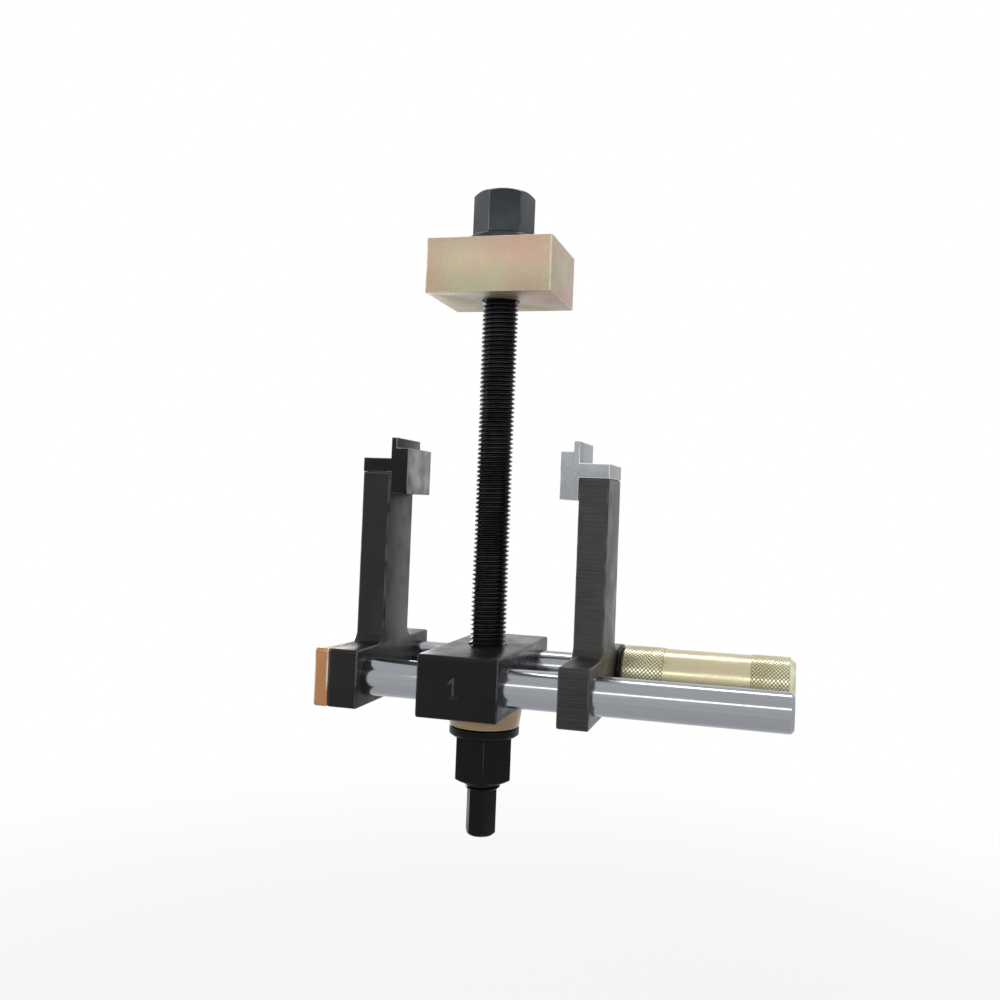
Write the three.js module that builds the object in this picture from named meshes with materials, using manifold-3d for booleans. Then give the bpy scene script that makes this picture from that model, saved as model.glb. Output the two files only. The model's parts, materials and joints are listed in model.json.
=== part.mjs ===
// Ball joint separator: two clawed legs on a pair of guide bars, pulled up by a screw spindle.
// Millimetres, +Z up. The origin is on the spindle's axis, level with the seats of the two claws.
// +X runs along the guide bars towards the knurled sleeve, and +Y runs from the front bar to the rear bar.

import * as THREE from 'three';
import { mergeVertices } from 'three/addons/utils/BufferGeometryUtils.js';
import Module from 'manifold-3d';

const wasm = await Module();
wasm.setup();

// ---------------------------------------------------------------- clearances
const FACE_GAP = 0.1; // between two flat faces that are clamped together
const TURN_GAP = 0.3; // between a turning face and the face that it bears on
const SLIDE_GAP = 0.3; // radial, round a shaft, a screw or a bar
const CUT_OVERRUN = 1; // a cutter runs this far past the face that it opens

// ---------------------------------------------------------------- threads and nuts
const THREAD_D = 16; // spindle
const NUT_WALL = 4; // thread to flats
const NUT_HEIGHT = 24;
const NUT_COLLAR_OVERHANG = 3.5; // collar past the flats, radial
const NUT_COLLAR_HEIGHT = 4;
const NUT_CHAMFER_DEG = 30;
const NUT_FACE_INSET = 0.6; // end face's circle inside the flats
const NUT_COLLAR_CHAMFER = 0.6;

// ---------------------------------------------------------------- guide bars
const BAR_D = 16;
const BAR_SPACING = 59; // centre to centre, along Y
const BAR_CHAMFER = 1.2;
const FRONT_BAR_INSET = 0.3; // right end inside the sleeve's end face
const SEAT_TO_BARS = 99; // claw seat down to the bars' axes

// ---------------------------------------------------------------- cross pieces
const BAR_WALL = 4.5; // metal left outside each bar
const BRACKET_COVER = 4.25; // metal over and under each bar
const BRACKET_THICKNESS = 13; // along X
const BLOCK_WIDTH = 35; // along X
const BLOCK_COVER = 5; // metal over and under each bar
const BLOCK_BORE_GAP = 1; // radial, round the spindle
const CORNER_R = 1.5;
const EDGE_BEVEL = 0.8;
const LEFT_REACH = 43.9; // spindle's axis to the left leg's inner face
const RIGHT_REACH = 41.8; // spindle's axis to the right leg's inner face

// ---------------------------------------------------------------- legs and claws
const LEG_WIDTH = 29; // along Y
const LEG_FILLET_R = 4; // where the leg meets its bracket
const CLAW_WIDTH = 29;
const CLAW_BEVEL = 0.5;
const LIP_HEIGHT = 4.6; // above the seat
const LIP_THICKNESS = 2.6;
const TONGUE_THICKNESS = 8.2; // along X
const TONGUE_DROP = 20.4; // below the seat
const FLANGE_DROP = 4.7; // seat down to the flange's top
const FLANGE_THICKNESS = 6.2;

// ---------------------------------------------------------------- left end plate
const END_PLATE_THICKNESS = 6.2;
const END_PLATE_BEVEL = 1;

// ---------------------------------------------------------------- spindle and pressure plate
const SPINDLE_TOP_INSET = 1; // spindle's top below the upper nut's top
const SPINDLE_CHAMFER = 1.5;
const STUB_BELOW_NUT = 4; // thread that shows under the lower nut
const DRIVE_FLATS = 12;
const DRIVE_LENGTH = 20;
const DRIVE_TURN_DEG = 57.8;
const PLATE_WIDTH = 56.5; // along X
const PLATE_DEPTH = 45; // along Y
const PLATE_THICKNESS = 24;
const PLATE_UNDERSIDE = 67.6; // above the seat
const PLATE_BORE_GAP = 0.5; // radial, round the spindle
const PLATE_BEVEL = 0.6;
const PLATE_CORNER_R = 1.2;
const UPPER_NUT_TURN_DEG = 17;
const LOWER_NUT_TURN_DEG = 47;

// ---------------------------------------------------------------- thrust bearing
const CUP_RIM_WALL = 1.4; // beside the bearing's pocket
const CUP_FLARE = 1.3; // top wider than the rim, radial
const CUP_WEB = 1.6; // between the block and the upper race
const CUP_SPIGOT_WALL = 2.7;
const CUP_SPIGOT_HEIGHT = 2.7;
const RACE_BORE_GAP = 0.7; // radial, round the spindle
const RACE_WIDTH = 5; // inner to outer edge
const RACE_THICKNESS = 2.3;
const BALL_D = 3.5;
const BALL_COUNT = 12;
const GROOVE_GAP = 0.15; // between a ball and its groove
const GROOVE_DEPTH = 0.45;
const CAGE_THICKNESS = 1.6;
const CAGE_WALL = 0.5; // metal outside each ball's pocket
const POCKET_GAP = 0.25;

// ---------------------------------------------------------------- sleeve nut and its washer
const SLEEVE_WALL = 5.3; // outside the bar's thread
const SLEEVE_WAIST_DEPTH = 0.3; // waist below the knurled bands, radial
const SLEEVE_LENGTH = 76;
const SLEEVE_KNURL_LENGTH = 19; // at each end
const SLEEVE_CHAMFER = 2.5;
const SLEEVE_ENGAGED = 47.2; // length of bar inside the sleeve
const SLEEVE_SPARE = 20.8; // bore left for screwing in
const SLEEVE_MOUTH_CHAMFER = 1;
const WASHER_OVERHANG = 0.2; // washer past the sleeve, radial
const WASHER_THICKNESS = 1.6;

// ---------------------------------------------------------------- countersunk screws
const BAR_SCREW = { d: 6, headD: 12, headHeight: 3, length: 20, socket: 4, socketDepth: 2.2 };
const CLAW_SCREW = { d: 5, headD: 9.4, headHeight: 2.5, length: 16, socket: 3, socketDepth: 1.8 };
const CLAW_SCREW_SPACING = 16; // along Y
const SCREW_SINK = 0.2; // head below the face
const SCREW_TIP_CHAMFER = 0.5;
const SCREW_HEAD_RIM = 0.4; // straight edge over the head's cone
const TAP_OVERRUN = 3; // tapped hole past the screw's end

// ---------------------------------------------------------------- facets
const ROUND_SEGMENTS = 32;
const SMALL_SEGMENTS = 16;
const FILLET_STEPS = 2;
const GROOVE_STEPS = 3;
const BALL_SEGMENTS = 8;
const BALL_RINGS = 6;

// ---------------------------------------------------------------- places that follow from the sizes
const NUT_FLATS = THREAD_D + 2 * NUT_WALL;
const NUT_COLLAR_R = NUT_FLATS / 2 + NUT_COLLAR_OVERHANG;
const BAR_Z = -SEAT_TO_BARS;
const BAR_Y = BAR_SPACING / 2;
const BAR_BORE_R = BAR_D / 2 + SLIDE_GAP;
const CROSS_DEPTH = BAR_SPACING + BAR_D + 2 * BAR_WALL;
const BRACKET_HEIGHT = BAR_D + 2 * BRACKET_COVER;
const BLOCK_HEIGHT = BAR_D + 2 * BLOCK_COVER;
const BLOCK_BORE_R = THREAD_D / 2 + BLOCK_BORE_GAP;
const BLOCK_BOTTOM = BAR_Z - BLOCK_HEIGHT / 2;
const LEG_TOP = -FLANGE_DROP - FLANGE_THICKNESS - FACE_GAP;
const LEFT_OUTER = -LEFT_REACH - BRACKET_THICKNESS;
const RIGHT_OUTER = RIGHT_REACH + BRACKET_THICKNESS;
const END_PLATE_X = LEFT_OUTER - FACE_GAP - END_PLATE_THICKNESS;
const WASHER_X = RIGHT_OUTER + FACE_GAP;
const SLEEVE_X = WASHER_X + WASHER_THICKNESS + TURN_GAP;
const SLEEVE_R = BAR_D / 2 + SLEEVE_WALL;
const FRONT_BAR_END = SLEEVE_X + SLEEVE_LENGTH - FRONT_BAR_INSET;
const REAR_BAR_END = SLEEVE_X + SLEEVE_ENGAGED;
const PLATE_TOP = PLATE_UNDERSIDE + PLATE_THICKNESS;
const UPPER_NUT_Z = PLATE_TOP + TURN_GAP;
const SPINDLE_TOP = UPPER_NUT_Z + NUT_HEIGHT - SPINDLE_TOP_INSET;
const RACE_INNER_R = THREAD_D / 2 + RACE_BORE_GAP;
const RACE_OUTER_R = RACE_INNER_R + RACE_WIDTH;
const BALL_CIRCLE_R = (RACE_INNER_R + RACE_OUTER_R) / 2;
const POCKET_R = RACE_OUTER_R + SLIDE_GAP;
const CUP_RIM_R = POCKET_R + CUP_RIM_WALL;
const CUP_SPIGOT_R = BLOCK_BORE_R + CUP_SPIGOT_WALL;
const CUP_TOP = BLOCK_BOTTOM - FACE_GAP;
const UPPER_RACE_TOP = CUP_TOP - CUP_WEB - FACE_GAP;
const RACE_TO_BALLS = BALL_D / 2 + GROOVE_GAP - GROOVE_DEPTH;
const BALL_Z = UPPER_RACE_TOP - RACE_THICKNESS - RACE_TO_BALLS;
const LOWER_RACE_BOTTOM = BALL_Z - RACE_TO_BALLS - RACE_THICKNESS;
const LOWER_NUT_TOP = LOWER_RACE_BOTTOM - FACE_GAP;
const CUP_RIM = LOWER_NUT_TOP + TURN_GAP;
const LOWER_NUT_BOTTOM = LOWER_NUT_TOP - NUT_HEIGHT;
const DRIVE_TOP = LOWER_NUT_BOTTOM - STUB_BELOW_NUT;
const DRIVE_TIP = DRIVE_TOP - DRIVE_LENGTH;

// ---------------------------------------------------------------- finishes
const FINISHES = {
  blackOxide: { color: 0x1d1f21, roughness: 0.45, metalness: 0.8 },
  blackSteel: { color: 0x2b2828, roughness: 0.55, metalness: 0.5 },
  groundSteel: { color: 0x4a4845, roughness: 0.5, metalness: 0.7 },
  chromeBar: { color: 0xc9ccd2, roughness: 0.12, metalness: 1 },
  brightSteel: { color: 0xb9bbbf, roughness: 0.3, metalness: 1 },
  millAluminium: { color: 0xa9abad, roughness: 0.42, metalness: 0.9 },
  yellowZinc: { color: 0xcdbb84, roughness: 0.35, metalness: 0.9 },
  bronzeZinc: { color: 0xa98a55, roughness: 0.35, metalness: 0.9 },
  brassCage: { color: 0xb0893d, roughness: 0.4, metalness: 1 },
};

// ---------------------------------------------------------------- shape helpers

/** Points of an arc about (u, v), from one angle to another in radians. */
function arcPoints(u, v, radius, from, to, steps) {
  const points = [];
  for (let i = 0; i <= steps; i += 1) {
    const angle = from + ((to - from) * i) / steps;
    points.push(new THREE.Vector2(u + radius * Math.cos(angle), v + radius * Math.sin(angle)));
  }
  return points;
}

/** Points of a whole circle about (u, v). */
function circlePoints(u, v, radius, segments = ROUND_SEGMENTS) {
  const points = arcPoints(u, v, radius, 0, 2 * Math.PI, segments);
  points.pop();
  return points;
}

/** An outline whose corners, given as [u, v, radius], are rounded to their radius. */
function filletedOutline(corners) {
  const points = [];
  corners.forEach(([u, v, radius], i) => {
    const corner = new THREE.Vector2(u, v);
    if (!radius) {
      points.push(corner);
      return;
    }
    const before = corners[(i + corners.length - 1) % corners.length];
    const after = corners[(i + 1) % corners.length];
    const toBefore = new THREE.Vector2(before[0], before[1]).sub(corner).normalize();
    const toAfter = new THREE.Vector2(after[0], after[1]).sub(corner).normalize();
    const halfAngle = Math.acos(toBefore.dot(toAfter)) / 2;
    const middle = toBefore.clone().add(toAfter).normalize();
    const centre = corner.clone().addScaledVector(middle, radius / Math.sin(halfAngle));
    const tangent = radius / Math.tan(halfAngle);
    const start = corner.clone().addScaledVector(toBefore, tangent).sub(centre).angle();
    const end = corner.clone().addScaledVector(toAfter, tangent).sub(centre).angle();
    const sweep = THREE.MathUtils.euclideanModulo(end - start + Math.PI, 2 * Math.PI) - Math.PI;
    points.push(...arcPoints(centre.x, centre.y, radius, start, start + sweep, FILLET_STEPS));
  });
  return points;
}

/** The corners of a rectangle, each with the same rounding. */
function rectangleCorners(uLow, uHigh, vLow, vHigh, radius) {
  return [
    [uLow, vLow, radius],
    [uHigh, vLow, radius],
    [uHigh, vHigh, radius],
    [uLow, vHigh, radius],
  ];
}

/** An extruded outline with its edges bevelled, between depth 0 and the given depth. */
function extruded(points, holes, depth, bevel) {
  const shape = new THREE.Shape(points);
  shape.holes = holes.map((hole) => new THREE.Path(hole));
  const geometry = new THREE.ExtrudeGeometry(shape, {
    depth: depth - 2 * bevel,
    bevelEnabled: bevel > 0,
    bevelThickness: bevel,
    bevelSize: bevel,
    bevelOffset: -bevel,
    bevelSegments: 1,
    steps: 1,
  });
  return geometry.translate(0, 0, bevel);
}

/** Turns a geometry so that its own X, Y and Z run along the three given directions. */
function reoriented(geometry, xTo, yTo, zTo) {
  return geometry.applyMatrix4(new THREE.Matrix4().makeBasis(xTo, yTo, zTo));
}

const X_AXIS = new THREE.Vector3(1, 0, 0);
const Y_AXIS = new THREE.Vector3(0, 1, 0);
const Z_AXIS = new THREE.Vector3(0, 0, 1);

/** An outline in (Y, Z), extruded along +X from x. */
function slabAlongX(points, holes, x, thickness, bevel) {
  const slab = reoriented(extruded(points, holes, thickness, bevel), Y_AXIS, Z_AXIS, X_AXIS);
  return slab.translate(x, 0, 0);
}

/** An outline in (X, Z), extruded along Y and centred on y = 0. */
function slabAlongY(points, width, bevel) {
  const slab = reoriented(extruded(points, [], width, bevel), X_AXIS, Z_AXIS, Y_AXIS.clone().negate());
  return slab.translate(0, width / 2, 0);
}

/** A turned solid about Z from [radius, height] points. */
function turned(profile, segments = ROUND_SEGMENTS) {
  const points = profile.map(([radius, height]) => new THREE.Vector2(radius, height));
  return new THREE.LatheGeometry(points, segments).rotateX(Math.PI / 2);
}

/** A turned solid about X from [radius, x] points. */
function turnedAlongX(profile, segments = ROUND_SEGMENTS) {
  return reoriented(turned(profile, segments), Y_AXIS, Z_AXIS, X_AXIS);
}

/** A plain round rod about Z, between two heights. */
function rod(radius, low, high, segments = ROUND_SEGMENTS) {
  return turned([[0, low], [radius, low], [radius, high], [0, high]], segments);
}

/** A hexagonal prism about Z, between two heights, with one corner at the given angle. */
function hexPrism(flats, low, high, turnDeg) {
  const cornerR = flats / Math.sqrt(3);
  const turn = THREE.MathUtils.degToRad(turnDeg);
  const points = arcPoints(0, 0, cornerR, turn, turn + 2 * Math.PI, 6);
  points.pop();
  return extruded(points, [], high - low, 0).translate(0, 0, low);
}

// ---------------------------------------------------------------- solids

/** A manifold solid from a closed geometry. */
function solidOf(geometry) {
  const bare = geometry.clone();
  bare.deleteAttribute('normal');
  bare.deleteAttribute('uv');
  const merged = mergeVertices(bare, 1e-4);
  const vertProperties = new Float32Array(merged.attributes.position.array);
  const triVerts = new Uint32Array(merged.index.array);
  return new wasm.Manifold(new wasm.Mesh({ numProp: 3, vertProperties, triVerts }));
}

/** A geometry from a manifold solid. */
function geometryOf(solid) {
  const mesh = solid.getMesh();
  const geometry = new THREE.BufferGeometry();
  geometry.setAttribute('position', new THREE.BufferAttribute(mesh.vertProperties, 3));
  geometry.setIndex(new THREE.BufferAttribute(mesh.triVerts, 1));
  geometry.computeVertexNormals();
  return geometry;
}

/** A geometry with others cut out of it. */
function cut(geometry, ...cutters) {
  const solid = cutters.reduce((rest, cutter) => rest.subtract(solidOf(cutter)), solidOf(geometry));
  return geometryOf(solid);
}

const separator = new THREE.Group();

/** Adds one named piece to the tool. */
function addPiece(name, geometry, finish) {
  const mesh = new THREE.Mesh(geometry, new THREE.MeshStandardMaterial(FINISHES[finish]));
  mesh.name = name;
  separator.add(mesh);
  return mesh;
}

// ---------------------------------------------------------------- countersunk screws

/** A countersunk socket screw about Z, with its head's face at z = 0 and its shank below. */
function countersunkScrew(screw) {
  const shank = turned(
    [
      [0, -screw.length],
      [screw.d / 2 - SCREW_TIP_CHAMFER, -screw.length],
      [screw.d / 2, -screw.length + SCREW_TIP_CHAMFER],
      [screw.d / 2, -screw.headHeight],
      [screw.headD / 2, -SCREW_HEAD_RIM],
      [screw.headD / 2, 0],
      [0, 0],
    ],
    SMALL_SEGMENTS,
  );
  return cut(shank, hexPrism(screw.socket, -screw.socketDepth, CUT_OVERRUN, 0));
}

/** The space that a countersunk screw needs, sunk below a face at z = 0, with its tapped hole. */
function screwCutter(screw) {
  const headR = screw.headD / 2 + SLIDE_GAP;
  const shankR = screw.d / 2 + SLIDE_GAP;
  const low = -screw.length - SCREW_SINK - TAP_OVERRUN;
  return turned(
    [
      [0, low],
      [shankR, low],
      [shankR, -screw.headHeight - SCREW_SINK - SLIDE_GAP],
      [headR, -SCREW_SINK - SCREW_HEAD_RIM - SLIDE_GAP],
      [headR, CUT_OVERRUN],
      [0, CUT_OVERRUN],
    ],
    SMALL_SEGMENTS,
  );
}

/** Turns a geometry so that its own +Z points along -X. */
function facingLeft(geometry) {
  return reoriented(geometry, Y_AXIS, Z_AXIS.clone().negate(), X_AXIS.clone().negate());
}

// ---------------------------------------------------------------- guide bars and end plate

/** A guide bar from the left bracket's outer face to its right end, tapped at the left end. */
function guideBar(rightEnd, y) {
  const r = BAR_D / 2;
  const tapR = BAR_SCREW.d / 2 + SLIDE_GAP;
  const tapDepth = BAR_SCREW.length + TAP_OVERRUN - END_PLATE_THICKNESS;
  const bar = turnedAlongX([
    [0, LEFT_OUTER + tapDepth],
    [tapR, LEFT_OUTER + tapDepth],
    [tapR, LEFT_OUTER],
    [r - BAR_CHAMFER, LEFT_OUTER],
    [r, LEFT_OUTER + BAR_CHAMFER],
    [r, rightEnd - BAR_CHAMFER],
    [r - BAR_CHAMFER, rightEnd],
    [0, rightEnd],
  ]);
  return bar.translate(0, y, BAR_Z);
}

addPiece('front_guide_bar', guideBar(FRONT_BAR_END, -BAR_Y), 'chromeBar');
addPiece('rear_guide_bar', guideBar(REAR_BAR_END, BAR_Y), 'chromeBar');

/** The rectangle of a cross piece in (Y, Z), with its corners rounded. */
function crossOutline(height) {
  const half = height / 2;
  const corners = rectangleCorners(-CROSS_DEPTH / 2, CROSS_DEPTH / 2, BAR_Z - half, BAR_Z + half, CORNER_R);
  return filletedOutline(corners);
}

function addEndPlate() {
  const outline = crossOutline(BRACKET_HEIGHT);
  const blank = slabAlongX(outline, [], END_PLATE_X, END_PLATE_THICKNESS, END_PLATE_BEVEL);
  const places = [
    ['end_plate_screw_front', -BAR_Y],
    ['end_plate_screw_rear', BAR_Y],
  ];
  const cutters = places.map(([, y]) => facingLeft(screwCutter(BAR_SCREW)).translate(END_PLATE_X, y, BAR_Z));
  addPiece('left_end_plate', cut(blank, ...cutters), 'bronzeZinc');
  places.forEach(([name, y]) => {
    const screw = facingLeft(countersunkScrew(BAR_SCREW));
    addPiece(name, screw.translate(END_PLATE_X + SCREW_SINK, y, BAR_Z), 'blackOxide');
  });
}

addEndPlate();

// ---------------------------------------------------------------- legs and claws

/** The outline of a leg in (Y, Z): a bracket across both bars with the leg rising from its middle. */
function legOutline() {
  const low = BAR_Z - BRACKET_HEIGHT / 2;
  const shoulder = BAR_Z + BRACKET_HEIGHT / 2;
  const depth = CROSS_DEPTH / 2;
  const leg = LEG_WIDTH / 2;
  return filletedOutline([
    [-depth, low, CORNER_R],
    [depth, low, CORNER_R],
    [depth, shoulder, CORNER_R],
    [leg, shoulder, LEG_FILLET_R],
    [leg, LEG_TOP, 0],
    [-leg, LEG_TOP, 0],
    [-leg, shoulder, LEG_FILLET_R],
    [-depth, shoulder, CORNER_R],
  ]);
}

/** The two bores of a cross piece, as outlines in (Y, Z). */
function barBores() {
  return [-BAR_Y, BAR_Y].map((y) => circlePoints(y, BAR_Z, BAR_BORE_R));
}

/** A claw's outline in (X, Z) on a leg whose inner face is at x; outward is the leg's side, +1 or -1. */
function clawOutline(innerX, outward) {
  const flangeTop = -FLANGE_DROP;
  const flangeLow = flangeTop - FLANGE_THICKNESS;
  const points = [
    [BRACKET_THICKNESS, flangeLow],
    [BRACKET_THICKNESS, flangeTop],
    [0, flangeTop],
    [0, LIP_HEIGHT],
    [-LIP_THICKNESS, LIP_HEIGHT],
    [-LIP_THICKNESS, 0],
    [-TONGUE_THICKNESS, 0],
    [-TONGUE_THICKNESS, -TONGUE_DROP],
    [-FACE_GAP, -TONGUE_DROP],
    [-FACE_GAP, flangeLow],
  ];
  return points.map(([u, v]) => new THREE.Vector2(innerX + outward * u, v));
}

/** Adds a leg, its claw and the two screws that hold the claw. */
function addLeg(side, innerX, outward) {
  const lowX = Math.min(innerX, innerX + outward * BRACKET_THICKNESS);
  const screwX = innerX + (outward * BRACKET_THICKNESS) / 2;
  const screwYs = { front: -CLAW_SCREW_SPACING / 2, rear: CLAW_SCREW_SPACING / 2 };
  const cutters = Object.values(screwYs).map((y) => {
    return screwCutter(CLAW_SCREW).translate(screwX, y, -FLANGE_DROP);
  });
  const leg = slabAlongX(legOutline(), barBores(), lowX, BRACKET_THICKNESS, EDGE_BEVEL);
  addPiece(`${side}_leg`, cut(leg, ...cutters), side === 'left' ? 'blackSteel' : 'groundSteel');
  const claw = slabAlongY(clawOutline(innerX, outward), CLAW_WIDTH, CLAW_BEVEL);
  addPiece(`${side}_claw`, cut(claw, ...cutters), 'millAluminium');
  Object.entries(screwYs).forEach(([place, y]) => {
    const screw = countersunkScrew(CLAW_SCREW).translate(screwX, y, -FLANGE_DROP - SCREW_SINK);
    addPiece(`${side}_claw_screw_${place}`, screw, 'blackOxide');
  });
}

addLeg('left', -LEFT_REACH, -1);
addLeg('right', RIGHT_REACH, 1);

// ---------------------------------------------------------------- crosshead

function addCrosshead() {
  const block = slabAlongX(crossOutline(BLOCK_HEIGHT), barBores(), -BLOCK_WIDTH / 2, BLOCK_WIDTH, EDGE_BEVEL);
  const bore = rod(BLOCK_BORE_R, BLOCK_BOTTOM - CUT_OVERRUN, BAR_Z + BLOCK_HEIGHT / 2 + CUT_OVERRUN);
  const recessTop = CUP_TOP + CUP_SPIGOT_HEIGHT + SLIDE_GAP;
  const recess = rod(CUP_SPIGOT_R + SLIDE_GAP, BLOCK_BOTTOM - CUT_OVERRUN, recessTop);
  addPiece('crosshead', cut(block, bore, recess), 'blackSteel');
}

addCrosshead();

// ---------------------------------------------------------------- thrust bearing

function addBearingCup() {
  const cup = turned([
    [BLOCK_BORE_R, CUP_TOP - CUP_WEB],
    [POCKET_R, CUP_TOP - CUP_WEB],
    [POCKET_R, CUP_RIM],
    [CUP_RIM_R, CUP_RIM],
    [CUP_RIM_R + CUP_FLARE, CUP_TOP],
    [CUP_SPIGOT_R, CUP_TOP],
    [CUP_SPIGOT_R, CUP_TOP + CUP_SPIGOT_HEIGHT],
    [BLOCK_BORE_R, CUP_TOP + CUP_SPIGOT_HEIGHT],
    [BLOCK_BORE_R, CUP_TOP - CUP_WEB],
  ]);
  addPiece('bearing_cup', cup, 'bronzeZinc');
}

/** A race whose groove faces up, about a ball circle at z = 0. */
function race() {
  const grooveR = BALL_D / 2 + GROOVE_GAP;
  const halfAngle = Math.acos(RACE_TO_BALLS / grooveR);
  const down = -Math.PI / 2;
  const groove = arcPoints(BALL_CIRCLE_R, 0, grooveR, down + halfAngle, down - halfAngle, GROOVE_STEPS);
  const low = -RACE_TO_BALLS - RACE_THICKNESS;
  return turned([
    [RACE_INNER_R, low],
    [RACE_OUTER_R, low],
    [RACE_OUTER_R, -RACE_TO_BALLS],
    ...groove.map((point) => [point.x, point.y]),
    [RACE_INNER_R, -RACE_TO_BALLS],
    [RACE_INNER_R, low],
  ]);
}

/** The angle of each ball about Z. */
function ballAngles() {
  return Array.from({ length: BALL_COUNT }, (_, i) => (2 * Math.PI * i) / BALL_COUNT);
}

/** The cage: a flat ring with one pocket for each ball. */
function ballCage() {
  const pocketR = BALL_D / 2 + POCKET_GAP;
  const outer = circlePoints(0, 0, BALL_CIRCLE_R + pocketR + CAGE_WALL);
  const inner = circlePoints(0, 0, BALL_CIRCLE_R - pocketR - CAGE_WALL);
  const ring = extruded(outer, [inner], CAGE_THICKNESS, 0).translate(0, 0, -CAGE_THICKNESS / 2);
  const pockets = ballAngles().map((angle) => {
    const pocket = rod(pocketR, -CAGE_THICKNESS, CAGE_THICKNESS, SMALL_SEGMENTS);
    return pocket.translate(BALL_CIRCLE_R * Math.cos(angle), BALL_CIRCLE_R * Math.sin(angle), 0);
  });
  return cut(ring, ...pockets);
}

function addBearing() {
  addBearingCup();
  addPiece('lower_race', race().translate(0, 0, BALL_Z), 'brightSteel');
  addPiece('upper_race', race().rotateX(Math.PI).translate(0, 0, BALL_Z), 'brightSteel');
  addPiece('ball_cage', ballCage().translate(0, 0, BALL_Z), 'brassCage');
  ballAngles().forEach((angle, i) => {
    const name = `bearing_ball_${String(i + 1).padStart(2, '0')}`;
    const sphere = new THREE.SphereGeometry(BALL_D / 2, BALL_SEGMENTS, BALL_RINGS);
    const ball = addPiece(name, sphere, 'brightSteel');
    ball.position.set(BALL_CIRCLE_R * Math.cos(angle), BALL_CIRCLE_R * Math.sin(angle), BALL_Z);
  });
}

addBearing();

// ---------------------------------------------------------------- spindle, nuts and pressure plate

/** A collar nut with its collar's face at z = 0 and its hexagon above. */
function collarNut(turnDeg) {
  const cornerR = NUT_FLATS / Math.sqrt(3);
  const faceR = NUT_FLATS / 2 - NUT_FACE_INSET;
  const chamfer = (cornerR - faceR) * Math.tan(THREE.MathUtils.degToRad(NUT_CHAMFER_DEG));
  const hexagon = solidOf(hexPrism(NUT_FLATS, NUT_COLLAR_HEIGHT / 2, NUT_HEIGHT, turnDeg));
  const turning = turned([
    [0, 0],
    [cornerR, 0],
    [cornerR, NUT_HEIGHT - chamfer],
    [faceR, NUT_HEIGHT],
    [0, NUT_HEIGHT],
  ]);
  const collar = turned([
    [0, 0],
    [NUT_COLLAR_R - NUT_COLLAR_CHAMFER, 0],
    [NUT_COLLAR_R, NUT_COLLAR_CHAMFER],
    [NUT_COLLAR_R, NUT_COLLAR_HEIGHT - NUT_COLLAR_CHAMFER],
    [cornerR, NUT_COLLAR_HEIGHT + NUT_COLLAR_CHAMFER],
    [0, NUT_COLLAR_HEIGHT + NUT_COLLAR_CHAMFER],
  ]);
  const bore = rod(THREAD_D / 2 + SLIDE_GAP, -CUT_OVERRUN, NUT_HEIGHT + CUT_OVERRUN);
  const body = hexagon.intersect(solidOf(turning)).add(solidOf(collar));
  return geometryOf(body.subtract(solidOf(bore)));
}

addPiece('upper_nut', collarNut(UPPER_NUT_TURN_DEG).translate(0, 0, UPPER_NUT_Z), 'blackOxide');
const lowerNut = collarNut(-LOWER_NUT_TURN_DEG).rotateX(Math.PI).translate(0, 0, LOWER_NUT_TOP);
addPiece('lower_nut', lowerNut, 'blackOxide');

function addSpindle() {
  const r = THREAD_D / 2;
  const shaft = turned([
    [0, DRIVE_TOP],
    [r - SPINDLE_CHAMFER, DRIVE_TOP],
    [r, DRIVE_TOP + SPINDLE_CHAMFER],
    [r, SPINDLE_TOP - SPINDLE_CHAMFER],
    [r - SPINDLE_CHAMFER, SPINDLE_TOP],
    [0, SPINDLE_TOP],
  ]);
  const driveCornerR = DRIVE_FLATS / Math.sqrt(3);
  const driveTipR = driveCornerR - SPINDLE_CHAMFER;
  const drive = solidOf(hexPrism(DRIVE_FLATS, DRIVE_TIP, DRIVE_TOP + CUT_OVERRUN, DRIVE_TURN_DEG));
  const tip = turned([
    [0, DRIVE_TIP],
    [driveTipR, DRIVE_TIP],
    [driveCornerR, DRIVE_TIP + SPINDLE_CHAMFER],
    [driveCornerR, DRIVE_TOP + CUT_OVERRUN],
    [0, DRIVE_TOP + CUT_OVERRUN],
  ]);
  const spindle = solidOf(shaft).add(drive.intersect(solidOf(tip)));
  addPiece('spindle', geometryOf(spindle), 'blackOxide');
}

addSpindle();

function addPressurePlate() {
  const halfX = PLATE_WIDTH / 2;
  const halfY = PLATE_DEPTH / 2;
  const outline = filletedOutline(rectangleCorners(-halfX, halfX, -halfY, halfY, PLATE_CORNER_R));
  const hole = circlePoints(0, 0, THREAD_D / 2 + PLATE_BORE_GAP);
  const plate = extruded(outline, [hole], PLATE_THICKNESS, PLATE_BEVEL);
  addPiece('pressure_plate', plate.translate(0, 0, PLATE_UNDERSIDE), 'yellowZinc');
}

addPressurePlate();

// ---------------------------------------------------------------- sleeve nut and its washer

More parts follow.
